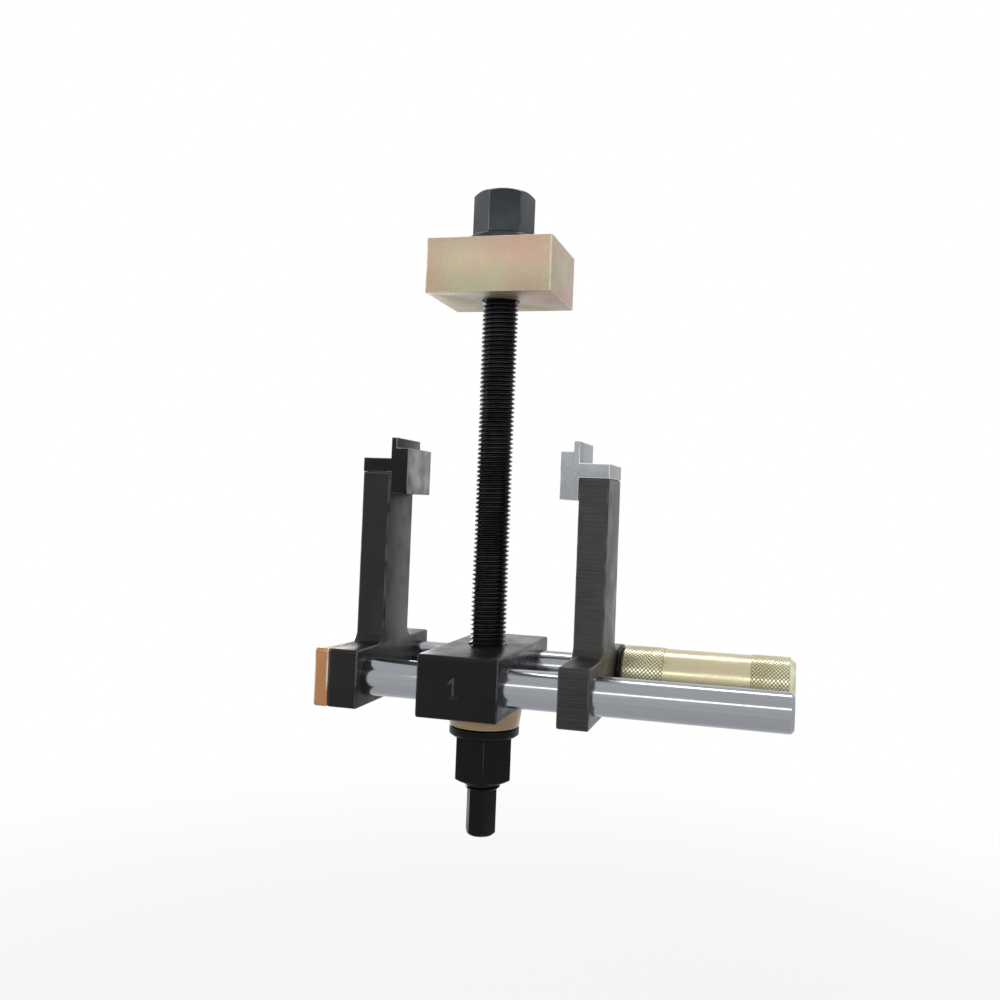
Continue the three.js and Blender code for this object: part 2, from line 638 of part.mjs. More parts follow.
function addSleeve() {
  const waistR = SLEEVE_R - SLEEVE_WAIST_DEPTH;
  const boreDepth = SLEEVE_ENGAGED + SLEEVE_SPARE;
  const end = SLEEVE_LENGTH;
  const sleeve = turnedAlongX([
    [0, boreDepth],
    [BAR_BORE_R, boreDepth],
    [BAR_BORE_R, SLEEVE_MOUTH_CHAMFER],
    [BAR_BORE_R + SLEEVE_MOUTH_CHAMFER, 0],
    [SLEEVE_R - SLEEVE_MOUTH_CHAMFER, 0],
    [SLEEVE_R, SLEEVE_MOUTH_CHAMFER],
    [SLEEVE_R, SLEEVE_KNURL_LENGTH],
    [waistR, SLEEVE_KNURL_LENGTH + SLEEVE_WAIST_DEPTH],
    [waistR, end - SLEEVE_KNURL_LENGTH - SLEEVE_WAIST_DEPTH],
    [SLEEVE_R, end - SLEEVE_KNURL_LENGTH],
    [SLEEVE_R, end - SLEEVE_CHAMFER],
    [SLEEVE_R - SLEEVE_CHAMFER, end],
    [0, end],
  ]);
  addPiece('knurled_sleeve', sleeve.translate(SLEEVE_X, BAR_Y, BAR_Z), 'yellowZinc');
}

function addSleeveWasher() {
  const r = SLEEVE_R + WASHER_OVERHANG;
  const washer = turnedAlongX([
    [BAR_BORE_R, 0],
    [r, 0],
    [r, WASHER_THICKNESS],
    [BAR_BORE_R, WASHER_THICKNESS],
    [BAR_BORE_R, 0],
  ]);
  addPiece('sleeve_washer', washer.translate(WASHER_X, BAR_Y, BAR_Z), 'blackOxide');
}

addSleeve();
addSleeveWasher();

export default separator;
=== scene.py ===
"""Looks of a ball joint separator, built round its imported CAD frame.

Lengths are in metres and places come from the frame. Each sub-assembly is a class that models its
pieces with the mesh tools and dresses them in a finish. The finishes are procedural and read Object
coordinates.
"""

import json
import logging
import math
from contextlib import contextmanager
from dataclasses import dataclass
from enum import Enum
from typing import Callable, Iterator, Sequence

import bmesh
import bpy
from mathutils import Matrix, Vector


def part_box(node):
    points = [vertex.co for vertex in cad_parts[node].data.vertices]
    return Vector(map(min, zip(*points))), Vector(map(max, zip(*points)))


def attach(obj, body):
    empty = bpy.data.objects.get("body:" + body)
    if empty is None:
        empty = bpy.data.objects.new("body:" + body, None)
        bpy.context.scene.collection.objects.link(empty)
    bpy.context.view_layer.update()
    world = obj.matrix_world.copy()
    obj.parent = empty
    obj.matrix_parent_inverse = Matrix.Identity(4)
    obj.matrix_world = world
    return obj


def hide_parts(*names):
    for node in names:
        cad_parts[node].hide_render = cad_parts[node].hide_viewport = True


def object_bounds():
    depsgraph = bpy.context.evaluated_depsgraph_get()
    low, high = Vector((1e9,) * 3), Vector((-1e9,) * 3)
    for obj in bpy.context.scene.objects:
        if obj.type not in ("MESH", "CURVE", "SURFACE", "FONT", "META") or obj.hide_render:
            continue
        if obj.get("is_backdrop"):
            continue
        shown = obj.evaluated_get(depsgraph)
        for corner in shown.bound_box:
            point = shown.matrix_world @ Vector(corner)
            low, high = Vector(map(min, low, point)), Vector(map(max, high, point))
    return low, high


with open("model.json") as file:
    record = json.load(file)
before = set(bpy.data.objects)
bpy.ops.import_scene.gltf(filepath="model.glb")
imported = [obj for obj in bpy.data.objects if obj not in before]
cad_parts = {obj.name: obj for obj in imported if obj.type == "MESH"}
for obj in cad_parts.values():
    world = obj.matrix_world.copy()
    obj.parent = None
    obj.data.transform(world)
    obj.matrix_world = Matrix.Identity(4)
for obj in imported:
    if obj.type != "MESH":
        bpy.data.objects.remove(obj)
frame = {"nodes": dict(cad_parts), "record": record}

LOG = logging.getLogger("separator")
MM = 0.001
ROUND_STEPS = 96
SCREW_STEPS = 48
HOLE_STEPS = 32
SHARP_ANGLE = math.radians(28)
MERGE_DISTANCE = 0.002 * MM
SAME_PLACE = 0.01 * MM
# The slot of the lighter edge colour: wear, and partly a painted highlight on edges, crests and the sleeve's
# end chamfer.
EDGE_SLOT = 1
# The second slot: bare steel on the left claw's inner face, and painted shade on the knurl's groove walls.
BARE_AND_SHADE_SLOT = 2
Point = tuple[float, float]
Colour = tuple[float, float, float]


class Axis(Enum):
    """The direction a turned or threaded piece runs along."""

    X = "x"
    Z = "z"

    @property
    def vector(self) -> Vector:
        """The unit vector of the axis."""
        return Vector((1, 0, 0)) if self is Axis.X else Vector((0, 0, 1))

    def place(self, radius: float, along: float) -> Vector:
        """The profile point at a radius from the axis and a distance along it."""
        return Vector((along, radius, 0)) if self is Axis.X else Vector((radius, 0, along))


# ---------------------------------------------------------------- bench: modelling by operators


def deselect_everything() -> None:
    """Leaves nothing selected."""
    bpy.ops.object.select_all(action="DESELECT")


def make_active(piece: bpy.types.Object) -> None:
    """Selects one object alone and makes it active.

    Args:
        piece: the object.
    """
    deselect_everything()
    piece.select_set(True)
    bpy.context.view_layer.objects.active = piece


@contextmanager
def editing(piece: bpy.types.Object, mode: str = "FACE") -> Iterator[None]:
    """Opens a piece in edit mode with nothing selected, and closes it again.

    Args:
        piece: the object to edit.
        mode: VERT, EDGE or FACE.
    """
    make_active(piece)
    bpy.ops.object.mode_set(mode="EDIT")
    bpy.ops.mesh.select_mode(type=mode)
    bpy.ops.mesh.select_all(action="DESELECT")
    yield
    bpy.ops.object.mode_set(mode="OBJECT")


def select_faces(piece: bpy.types.Object, wanted: Callable[[Vector, Vector], bool]) -> None:
    """Selects faces of the piece being edited.

    Args:
        piece: the object in edit mode.
        wanted: says of a face's centre and normal whether it is selected.
    """
    mesh = bmesh.from_edit_mesh(piece.data)
    for face in mesh.faces:
        face.select_set(wanted(face.calc_center_median(), face.normal))
    mesh.select_flush_mode()
    bmesh.update_edit_mesh(piece.data)


def select_edges(piece: bpy.types.Object, wanted: Callable[[bmesh.types.BMEdge], bool]) -> None:
    """Selects edges of the piece being edited.

    Args:
        piece: the object in edit mode.
        wanted: says of an edge whether it is selected.
    """
    mesh = bmesh.from_edit_mesh(piece.data)
    for edge in mesh.edges:
        edge.select_set(wanted(edge))
    mesh.select_flush_mode()
    bmesh.update_edit_mesh(piece.data)


def assign_slot(piece: bpy.types.Object, slot: int) -> None:
    """Puts the selected faces of the piece being edited in a material slot."""
    piece.active_material_index = slot
    bpy.ops.object.material_slot_assign()


def open_slots(piece: bpy.types.Object, count: int) -> None:
    """Gives a piece empty material slots up to a count."""
    while len(piece.data.materials) < count:
        piece.data.materials.append(None)


def off_x(low: Vector, high: Vector) -> Vector:
    """How far the middle of a box lies off the X axis."""
    return Vector((0, (low.y + high.y) / 2, (low.z + high.z) / 2))


def spindle_radius() -> float:
    """The radius of the spindle."""
    low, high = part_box("spindle")
    return (high.x - low.x) / 2


def tidy_mesh(piece: bpy.types.Object) -> None:
    """Merges doubles and turns every face outwards."""
    with editing(piece, "VERT"):
        bpy.ops.mesh.select_all(action="SELECT")
        bpy.ops.mesh.remove_doubles(threshold=MERGE_DISTANCE)
        bpy.ops.mesh.normals_make_consistent(inside=False)


def smooth(piece: bpy.types.Object, angle: float = SHARP_ANGLE) -> None:
    """Shades a piece smooth, apart from edges sharper than the angle."""
    make_active(piece)
    bpy.ops.object.shade_smooth_by_angle(angle=angle)


def first_vertex(name: str, at: Vector) -> bpy.types.Object:
    """A new mesh object of one selected vertex, from a plane merged to its centre.

    Args:
        name: the object's name.
        at: the vertex's place.

    Returns:
        The new object, in object mode.
    """
    deselect_everything()
    bpy.ops.mesh.primitive_plane_add(size=MM, location=(0, 0, 0))
    piece = bpy.context.object
    piece.name = name
    piece.data.name = name
    bpy.ops.object.mode_set(mode="EDIT")
    bpy.ops.mesh.select_mode(type="VERT")
    bpy.ops.mesh.select_all(action="SELECT")
    bpy.ops.mesh.merge(type="CENTER")
    bpy.ops.transform.translate(value=at)
    bpy.ops.object.mode_set(mode="OBJECT")
    return piece


def chain(name: str, points: Sequence[Vector]) -> bpy.types.Object:
    """A line of edges through the points, drawn by extruding one vertex.

    Args:
        name: the object's name.
        points: the places to pass through, in order.

    Returns:
        The new object.
    """
    piece = first_vertex(name, points[0])
    bpy.ops.object.mode_set(mode="EDIT")
    for before, after in zip(points, points[1:]):
        bpy.ops.mesh.extrude_vertices_move(TRANSFORM_OT_translate={"value": after - before})
    bpy.ops.object.mode_set(mode="OBJECT")
    return piece


def turned(
    name: str, profile: Sequence[Point], axis: Axis = Axis.Z, steps: int = ROUND_STEPS
) -> bpy.types.Object:
    """A solid of revolution.

    Args:
        name: the object's name.
        profile: (radius, distance along the axis), from axis to axis or closed on itself.
        axis: the axis to spin about.
        steps: sides of the round.

    Returns:
        The new object.
    """
    piece = chain(name, [axis.place(radius, along) for radius, along in profile])
    with editing(piece, "VERT"):
        bpy.ops.mesh.select_all(action="SELECT")
        bpy.ops.mesh.spin(steps=steps, angle=2 * math.pi, center=(0, 0, 0), axis=axis.vector)
    tidy_mesh(piece)
    return piece


def moved(piece: bpy.types.Object, by: Vector) -> bpy.types.Object:
    """Moves a piece's mesh.

    Args:
        piece: the object to move.
        by: how far.

    Returns:
        The same piece.
    """
    with editing(piece, "VERT"):
        bpy.ops.mesh.select_all(action="SELECT")
        bpy.ops.transform.translate(value=by)
    return piece


def settled(
    piece: bpy.types.Object, at: Sequence[float], turn: Sequence[float] = (0, 0, 0)
) -> bpy.types.Object:
    """Turns and moves a piece, then puts both into its mesh.

    Args:
        piece: the object to place.
        at: where its origin goes.
        turn: its turn about X, Y and Z.

    Returns:
        The placed piece, with its object at the origin.
    """
    make_active(piece)
    piece.rotation_euler = turn
    piece.location = at
    bpy.ops.object.transform_apply(location=True, rotation=True, scale=True)
    return piece


def apply_modifier(piece: bpy.types.Object, kind: str, **settings: object) -> None:
    """Adds a modifier with its settings and applies it.

    Args:
        piece: the object to change.
        kind: the modifier's type.
        settings: its properties.
    """
    make_active(piece)
    modifier = piece.modifiers.new(kind.title(), kind)
    for key, value in settings.items():
        setattr(modifier, key, value)
    bpy.ops.object.modifier_apply(modifier=modifier.name)


def combine(piece: bpy.types.Object, tool: bpy.types.Object, operation: str) -> bpy.types.Object:
    """Cuts, joins or trims a piece by another solid, which is used up.

    Args:
        piece: the object to change.
        tool: the other solid.
        operation: DIFFERENCE, UNION or INTERSECT.

    Returns:
        The changed piece.
    """
    apply_modifier(piece, "BOOLEAN", object=tool, operation=operation, solver="EXACT")
    bpy.data.objects.remove(tool)
    return piece


def soften(piece: bpy.types.Object, width: float, segments: int = 2) -> None:
    """Rounds the sharp edges of a piece by a small bevel, whose faces take the edge slot.

    Args:
        piece: the object to change.
        width: the bevel's width.
        segments: its faces across.
    """
    open_slots(piece, EDGE_SLOT + 1)
    apply_modifier(
        piece, "BEVEL", width=width, segments=segments, limit_method="ANGLE", angle_limit=SHARP_ANGLE,
        harden_normals=False, use_clamp_overlap=True, material=EDGE_SLOT,
    )


def cylinder(
    radius: float, low: float, high: float, axis: Axis, steps: int = ROUND_STEPS
) -> bpy.types.Object:
    """A plain cylinder about the axis, used as a cutter."""
    return turned("cutter", [(0, low), (radius, low), (radius, high), (0, high)], axis, steps)


def slab(name: str, low: Vector, high: Vector) -> bpy.types.Object:
    """A box between two corners, as a start to be shaped.

    Args:
        name: the object's name.
        low: the lowest corner.
        high: the highest corner.

    Returns:
        The new object.
    """
    deselect_everything()
    bpy.ops.mesh.primitive_cube_add(size=1, location=(0, 0, 0))
    piece = bpy.context.object
    piece.name = name
    piece.data.name = name
    with editing(piece, "VERT"):
        bpy.ops.mesh.select_all(action="SELECT")
        bpy.ops.transform.resize(value=high - low, center_override=(0, 0, 0))
        bpy.ops.transform.translate(value=(low + high) / 2)
    return piece


def score(piece: bpy.types.Object, at: Vector, normal: Vector) -> None:
    """Draws an edge right round a piece where a plane crosses it.

    Args:
        piece: the object to score.
        at: a point of the plane.
        normal: the plane's normal.
    """
    with editing(piece, "FACE"):
        bpy.ops.mesh.select_all(action="SELECT")
        bpy.ops.mesh.bisect(plane_co=at, plane_no=normal, use_fill=False)


def hexagon(name: str, flats: float, low: float, high: float, corner_deg: float) -> bpy.types.Object:
    """A hexagonal prism about Z.

    Args:
        name: the object's name.
        flats: the distance across the flats.
        low: its lower end.
        high: its upper end.
        corner_deg: where one corner points, in degrees from X.

    Returns:
        The new object.
    """
    deselect_everything()
    bpy.ops.mesh.primitive_cylinder_add(vertices=6, radius=flats / math.sqrt(3), depth=high - low)
    piece = bpy.context.object
    piece.name = name
    piece.data.name = name
    corner = piece.data.vertices[0].co
    turn = math.radians(corner_deg) - math.atan2(corner.y, corner.x)
    return settled(piece, (0, 0, (low + high) / 2), (0, 0, turn))


def copied(piece: bpy.types.Object, name: str) -> bpy.types.Object:
    """A copy of a piece with a mesh of its own.

    Args:
        piece: the object to copy.
        name: the copy's name.

    Returns:
        The copy.
    """
    make_active(piece)
    bpy.ops.object.duplicate(linked=False)
    copy = bpy.context.object
    copy.name = name
    copy.data.name = name
    return copy


@dataclass(frozen=True)
class Thread:
    """A metric thread cut on a rod."""

    radius: float
    pitch: float = 2 * MM
    depth: float = 1.22 * MM
    steps: int = 32
    crest_share: float = 0.16
    root_share: float = 0.2
    trim_gap: float = 0.3 * MM

    def profile(self, start: float, axis: Axis) -> list[Vector]:
        """The profile of one pitch: root, flank, crest, flank.

        Args:
            start: where the pitch starts along the axis.
            axis: the axis it winds about.

        Returns:
            The profile's points.
        """
        root = self.radius - self.depth
        flank = (1 - self.crest_share - self.root_share) / 2
        stops = [
            (root, 0.0),
            (root, self.root_share),
            (self.radius, self.root_share + flank),
            (self.radius, self.root_share + flank + self.crest_share),
            (root, 1.0),
        ]
        return [axis.place(radius, start + share * self.pitch) for radius, share in stops]

    def build(self, name: str, low: float, high: float, axis: Axis, chamfers: Point) -> bpy.types.Object:
        """Winds the thread and trims both ends to a chamfer.

        Args:
            name: the object's name.
            low: the rod's lower end.
            high: the rod's upper end.
            axis: the axis it winds about.
            chamfers: the chamfer at the lower and at the upper end.

        Returns:
            The threaded rod as a closed solid.
        """
        turns = math.ceil((high - low) / self.pitch) + 2
        rod = chain(name, self.profile(low - self.pitch, axis))
        apply_modifier(
            rod, "SCREW", axis=axis.name, angle=2 * math.pi, screw_offset=self.pitch, iterations=turns,
            steps=self.steps, render_steps=self.steps, use_normal_calculate=True, use_smooth_shade=False,
        )
        tidy_mesh(rod)
        for end, direction in ((low, -1), (high, 1)):
            self.close_end(rod, end, direction, axis)
        tidy_mesh(rod)
        edge = self.radius + self.trim_gap
        trimmer = turned(
            "trimmer",
            [
                (0, low - MM),
                (edge - chamfers[0] - MM, low - MM),
                (edge, low + chamfers[0]),
                (edge, high - chamfers[1]),
                (edge - chamfers[1] - MM, high + MM),
                (0, high + MM),
            ],
            axis,
            self.steps,
        )
        return combine(rod, trimmer, "INTERSECT")

    def close_end(self, rod: bpy.types.Object, end: float, direction: int, axis: Axis) -> None:
        """Cuts a rod off square at one end and fills the cut.

        Args:
            rod: the rod.
            end: where it is cut along the axis.
            direction: -1 at the lower end, 1 at the upper one.
            axis: the rod's axis.
        """
        with editing(rod, "FACE"):
            bpy.ops.mesh.select_all(action="SELECT")
            bpy.ops.mesh.bisect(
                plane_co=axis.vector * end, plane_no=axis.vector * direction, use_fill=True, clear_outer=True,
            )


# ---------------------------------------------------------------- shader node groups


class Nodes:
    """A thin hand for wiring one node tree."""

    def __init__(self, tree: bpy.types.NodeTree) -> None:
        """Keeps the tree."""
        self.tree = tree

    def add(
        self, kind: str, inputs: dict[str | int, object] | None = None, **settings: object
    ) -> bpy.types.Node:
        """Adds a node.

        Args:
            kind: the node's type name without its ShaderNode prefix.
            inputs: a value or an output socket for each named input.
            settings: the node's own properties.

        Returns:
            The new node.
        """
        node = self.tree.nodes.new("ShaderNode" + kind)
        for key, value in settings.items():
            setattr(node, key, value)
        for key, value in (inputs or {}).items():
            self.feed(node.inputs[key], value)
        return node

    def feed(self, socket: bpy.types.NodeSocket, value: object) -> None:
        """Links an output to an input, or sets the input's value.

        Args:
            socket: the input.
            value: an output socket, a colour or a number.
        """
        if isinstance(value, bpy.types.NodeSocket):
            self.tree.links.new(value, socket)
        elif isinstance(value, tuple) and socket.type == "RGBA" and len(value) == 3:
            socket.default_value = (*value, 1)
        else:
            socket.default_value = value

    def maths(
        self, operation: str, a: object, b: object = 0.0, clamp: bool = False
    ) -> bpy.types.NodeSocket:
        """One arithmetic step on two numbers."""
        return self.add("Math", {0: a, 1: b}, operation=operation, use_clamp=clamp).outputs[0]

    def span(
        self, value: object, low: float, high: float, to_low: float = 0.0, to_high: float = 1.0
    ) -> bpy.types.NodeSocket:
        """A value carried smoothly from one range to another.

        Args:
            value: the value.
            low: where its range starts.
            high: where its range ends.
            to_low: what the start becomes.
            to_high: what the end becomes.

        Returns:
            The carried value.
        """
        ends = {"From Min": low, "From Max": high, "To Min": to_low, "To Max": to_high}
        node = self.add("MapRange", {"Value": value, **ends}, interpolation_type="SMOOTHSTEP")
        return node.outputs["Result"]

    def blend(self, share: object, a: object, b: object, how: str = "MIX") -> bpy.types.NodeSocket:
        """A mix of two colours.

        Args:
            share: how much of the second shows.
            a: the first colour.
            b: the second colour.
            how: the way they mix.

        Returns:
            The mixed colour.
        """
        node = self.add("Mix", data_type="RGBA", blend_type=how)
        self.feed(node.inputs["Factor"], share)
        self.feed(node.inputs[6], a)
        self.feed(node.inputs[7], b)
        return node.outputs[2]

    def noise(self, place: object, scale: object, detail: float, rough: float = 0.5) -> bpy.types.NodeSocket:
        """A noise value between 0 and 1."""
        settings = {"Vector": place, "Scale": scale, "Detail": detail, "Roughness": rough}
        return self.add("TexNoise", settings).outputs["Fac"]

    def seen(self) -> bpy.types.NodeSocket:
        """One for rays that show the background: from the camera, off metal and through glass."""
        rays = self.add("LightPath").outputs
        straight = self.maths("MAXIMUM", rays["Is Camera Ray"], rays["Is Transmission Ray"])
        return self.maths("MAXIMUM", straight, rays["Is Glossy Ray"])


def new_group(name: str, inputs: dict[str, tuple[str, object]], outputs: dict[str, str]) -> tuple:
    """Starts a node group.

    Args:
        name: the group's name.
        inputs: a socket type and a default for each input.
        outputs: a socket type for each output.

    Returns:
        The group, its input node, its output node and a hand to wire it.
    """
    group = bpy.data.node_groups.new(name, "ShaderNodeTree")
    for key, (kind, default) in inputs.items():
        socket = group.interface.new_socket(name=key, in_out="INPUT", socket_type=kind)
        if default is not None:
            socket.default_value = default
    for key, kind in outputs.items():
        group.interface.new_socket(name=key, in_out="OUTPUT", socket_type=kind)
    return group, group.nodes.new("NodeGroupInput"), group.nodes.new("NodeGroupOutput"), Nodes(group)


FLOAT = "NodeSocketFloat"
VECTOR = "NodeSocketVector"


def edge_wear_and_highlight_group() -> bpy.types.NodeTree:
    """Builds a mask of the edges, broken up by noise, where a finish is lightened: rubbed thin, and partly a
    painted edge highlight.

    Returns:
        The group.
    """
    group, given, result, hand = new_group(
        "edge_wear_and_highlight",
        {
            "Place": (VECTOR, None), "Radius": (FLOAT, 0.4 * MM), "Breakup": (FLOAT, 400.0),
            "Amount": (FLOAT, 1.0),
        },
        {"Mask": FLOAT},
    )
    rounded = hand.add("Bevel", {"Radius": given.outputs["Radius"]}, samples=4).outputs["Normal"]
    plain = hand.add("NewGeometry").outputs["Normal"]
    match = hand.add("VectorMath", {0: rounded, 1: plain}, operation="DOT_PRODUCT").outputs["Value"]
    edge = hand.span(match, 0.995, 0.9)
    grit = hand.noise(given.outputs["Place"], given.outputs["Breakup"], 3.0)
    patchy = hand.span(grit, 0.38, 0.62)
    mask = hand.maths("MULTIPLY", hand.maths("MULTIPLY", edge, patchy), given.outputs["Amount"], clamp=True)
    hand.feed(result.inputs["Mask"], mask)
    return group


def grain_group() -> bpy.types.NodeTree:
    """Builds fine machining lines that run along one direction.

    Returns:
        The group.
    """
    group, given, result, hand = new_group(
        "machining_lines",
        {"Place": (VECTOR, None), "Stretch": (VECTOR, (1.0, 1.0, 1.0)), "Scale": (FLOAT, 900.0)},
        {"Lines": FLOAT, "Broad": FLOAT},
    )
    mapped = hand.add("Mapping", {"Vector": given.outputs["Place"], "Scale": given.outputs["Stretch"]})
    drawn = mapped.outputs["Vector"]
    hand.feed(result.inputs["Lines"], hand.noise(drawn, given.outputs["Scale"], 4.0, 0.65))
    hand.feed(result.inputs["Broad"], hand.noise(drawn, 90.0, 2.0))
    return group


def smudge_group() -> bpy.types.NodeTree:
    """Builds soft handling marks, as a mask.

    Returns:
        The group.
    """
    group, given, result, hand = new_group(
        "smudges", {"Place": (VECTOR, None), "Size": (FLOAT, 60.0)}, {"Soft": FLOAT},
    )
    cloud = hand.noise(given.outputs["Place"], given.outputs["Size"], 5.0)
    hand.feed(result.inputs["Soft"], hand.span(cloud, 0.35, 0.65))
    return group


@dataclass(frozen=True)
class SharedEffects:
    """The node groups that the finishes share."""

    wear_and_highlight: bpy.types.NodeTree
    lines: bpy.types.NodeTree
    smudges: bpy.types.NodeTree

    @classmethod
    def build(cls) -> "SharedEffects":
        """Builds each group once."""
        return cls(edge_wear_and_highlight_group(), grain_group(), smudge_group())


# ---------------------------------------------------------------- finishes


class Grain(Enum):
    """Which way a machined surface's fine lines run."""

    ALONG_X = (0.001, 1.0, 1.0)
    LEVEL = (0.03, 0.03, 1.0)
    EVEN = (1.0, 1.0, 1.0)


@dataclass(frozen=True)
class Finish:
    """A metal finish: its colours, gloss, grain, and its lighter edges, for wear and a painted highlight.

    Attributes:
        name: the material's name.
        slot: the record's slot; not used.
        colour: the main colour.
        tint: a second colour that drifts over the first.
        wear_and_highlight_colour: the colour of the edges, for rubbed metal and for a painted edge highlight.
        metallic: the share of metal.
        roughness: the lowest and highest roughness.
        grain: the direction of the machining lines.
        line_scale: how fine the lines are.
        line_depth: the height of the lines.
        streak: how strongly the lines vary the colour.
        line_gloss: how strongly the lines vary the roughness.
        wear_and_highlight: how far the edges are lightened, for wear and for a painted edge highlight.
        wear_and_highlight_radius: how far the lightening reaches from an edge.
        drift: how strongly the tint shows.
        drift_scale: how fine the tint's patches are.
        sheen: how strongly it reflects where it is not metal, 0.5 as glass does.
    """

    name: str
    slot: str
    colour: Colour
    tint: Colour
    wear_and_highlight_colour: Colour
    metallic: float
    roughness: Point
    grain: Grain = Grain.EVEN
    line_scale: float = 900.0
    line_depth: float = 0.01 * MM
    streak: float = 0.06
    line_gloss: float = 0.1
    wear_and_highlight: float = 0.6
    wear_and_highlight_radius: float = 0.35 * MM
    drift: float = 0.5
    drift_scale: float = 45.0
    sheen: float = 0.5

    def material(self, shared: SharedEffects, edge_share: float) -> bpy.types.Material:
        """Builds the finish as a material.

        Args:
            shared: the node groups.
            edge_share: how much of the edge colour, for wear and a painted highlight, shows all over, for the
                faces of an edge.

        Returns:
            The new material.
        """
        made = bpy.data.materials.new(f"{self.name}_edge" if edge_share else self.name)
        made.use_nodes = True
        made.node_tree.nodes.clear()
        hand = Nodes(made.node_tree)
        place = hand.add("TexCoord").outputs["Object"]
        lines = hand.add("Group", node_tree=shared.lines)
        hand.feed(lines.inputs["Place"], place)
        hand.feed(lines.inputs["Stretch"], self.grain.value)
        hand.feed(lines.inputs["Scale"], self.line_scale)
        smudges = hand.add("Group", node_tree=shared.smudges)
        hand.feed(smudges.inputs["Place"], place)
        wear_and_highlight = hand.add("Group", node_tree=shared.wear_and_highlight)
        hand.feed(wear_and_highlight.inputs["Place"], place)
        hand.feed(wear_and_highlight.inputs["Radius"], self.wear_and_highlight_radius)
        hand.feed(wear_and_highlight.inputs["Amount"], self.wear_and_highlight)
        drift = hand.noise(place, self.drift_scale, 1.0)
        tinted = hand.blend(hand.span(drift, 0.35, 0.65, 0.0, self.drift), self.colour, self.tint)
        streaks = hand.span(lines.outputs["Lines"], 0.3, 0.7, 1 - self.streak, 1 + self.streak)
        streaked = hand.blend(1.0, tinted, self.grey(hand, streaks), "MULTIPLY")
        # Edges take the lighter colour: wear, and partly a painted edge highlight.
        rubbed_and_highlit = hand.maths("MULTIPLY", hand.span(lines.outputs["Broad"], 0.35, 0.6), edge_share)
        bare_and_painted_light = hand.maths("MAXIMUM", wear_and_highlight.outputs["Mask"], rubbed_and_highlit)
        colour = hand.blend(bare_and_painted_light, streaked, self.wear_and_highlight_colour)
        gloss = hand.span(smudges.outputs["Soft"], 0.0, 1.0, *self.roughness)
        centred = hand.maths("SUBTRACT", lines.outputs["Lines"], 0.5)
        fine = hand.maths("MULTIPLY", centred, self.line_gloss)
        rough = hand.maths("ADD", gloss, fine, clamp=True)
        relief = {"Strength": 0.6, "Distance": self.line_depth, "Height": lines.outputs["Lines"]}
        bump = hand.add("Bump", relief)
        shader = hand.add(
            "BsdfPrincipled",
            {
                "Base Color": colour, "Roughness": rough, "Metallic": self.metallic,
                "Normal": bump.outputs["Normal"], "Specular IOR Level": self.sheen,
            },
        )
        output = hand.add("OutputMaterial")
        hand.feed(output.inputs["Surface"], shader.outputs["BSDF"])
        return made

    @staticmethod
    def grey(hand: Nodes, value: object) -> bpy.types.NodeSocket:
        """A grey of the given value."""
        return hand.add("CombineColor", {"Red": value, "Green": value, "Blue": value}).outputs["Color"]


BLACK_OXIDE = Finish(
    "black_oxide", "black_oxide", (0.0077, 0.0084, 0.0091), (0.0056, 0.0063, 0.007),
    (0.0765, 0.0808, 0.085), 0.5, (0.28, 0.4), line_scale=700.0, line_depth=0.004 * MM, wear_and_highlight=0.5,
    wear_and_highlight_radius=0.25 * MM, sheen=0.12,
)
# A lighter copy of the black oxide for the upper nut: painted light, for the stronger light that falls on it.
BLACK_OXIDE_PAINTED_LIGHT = Finish(
    "black_oxide_painted_light", "black_oxide", (0.0255, 0.0292, 0.033), (0.0195, 0.0225, 0.0255),
    (0.175, 0.1925, 0.21), 0.5, (0.26, 0.38), line_scale=700.0, line_depth=0.004 * MM, wear_and_highlight=0.5,
    wear_and_highlight_radius=0.25 * MM, sheen=0.3,
)
BLACK_STEEL = Finish(
    "black_steel", "black_steel", (0.0112, 0.0109, 0.0109), (0.015, 0.0142, 0.0139),
    (0.105, 0.105, 0.1094), 0.35, (0.26, 0.38), grain=Grain.LEVEL, line_scale=1600.0,
    line_depth=0.002 * MM, streak=0.04, wear_and_highlight=0.6, sheen=0.12,
)
LEG_STEEL = Finish(
    "leg_steel", "black_steel", (0.0112, 0.0101, 0.0094), (0.015, 0.0135, 0.0128),
    (0.1225, 0.1225, 0.1225), 0.35, (0.34, 0.46), grain=Grain.LEVEL, line_scale=1600.0,
    line_depth=0.006 * MM, streak=0.12, wear_and_highlight=0.6, sheen=0.25,
)
GROUND_STEEL = Finish(
    "ground_steel", "ground_steel", (0.0346, 0.0331, 0.0302), (0.0274, 0.0259, 0.0238),
    (0.172, 0.172, 0.1634), 0.35, (0.34, 0.46), grain=Grain.LEVEL, line_scale=1900.0,
    line_depth=0.014 * MM, streak=0.34, wear_and_highlight=0.35, sheen=0.3,
)
CHROME_BAR = Finish(
    "chrome_bar", "chrome_bar", (0.3024, 0.3192, 0.336), (0.2982, 0.2982, 0.3276),
    (0.6035, 0.6106, 0.6248), 1.0, (0.12, 0.17), grain=Grain.ALONG_X, line_scale=1600.0,
    line_depth=0.00001 * MM, streak=0.05, line_gloss=0.0, wear_and_highlight=0.2, drift=0.4,
)
BRIGHT_STEEL = Finish(
    "bright_steel", "bright_steel", (0.6, 0.61, 0.63), (0.54, 0.55, 0.58), (0.75, 0.75, 0.76), 1.0,
    (0.16, 0.26), line_depth=0.003 * MM, wear_and_highlight=0.2,
)
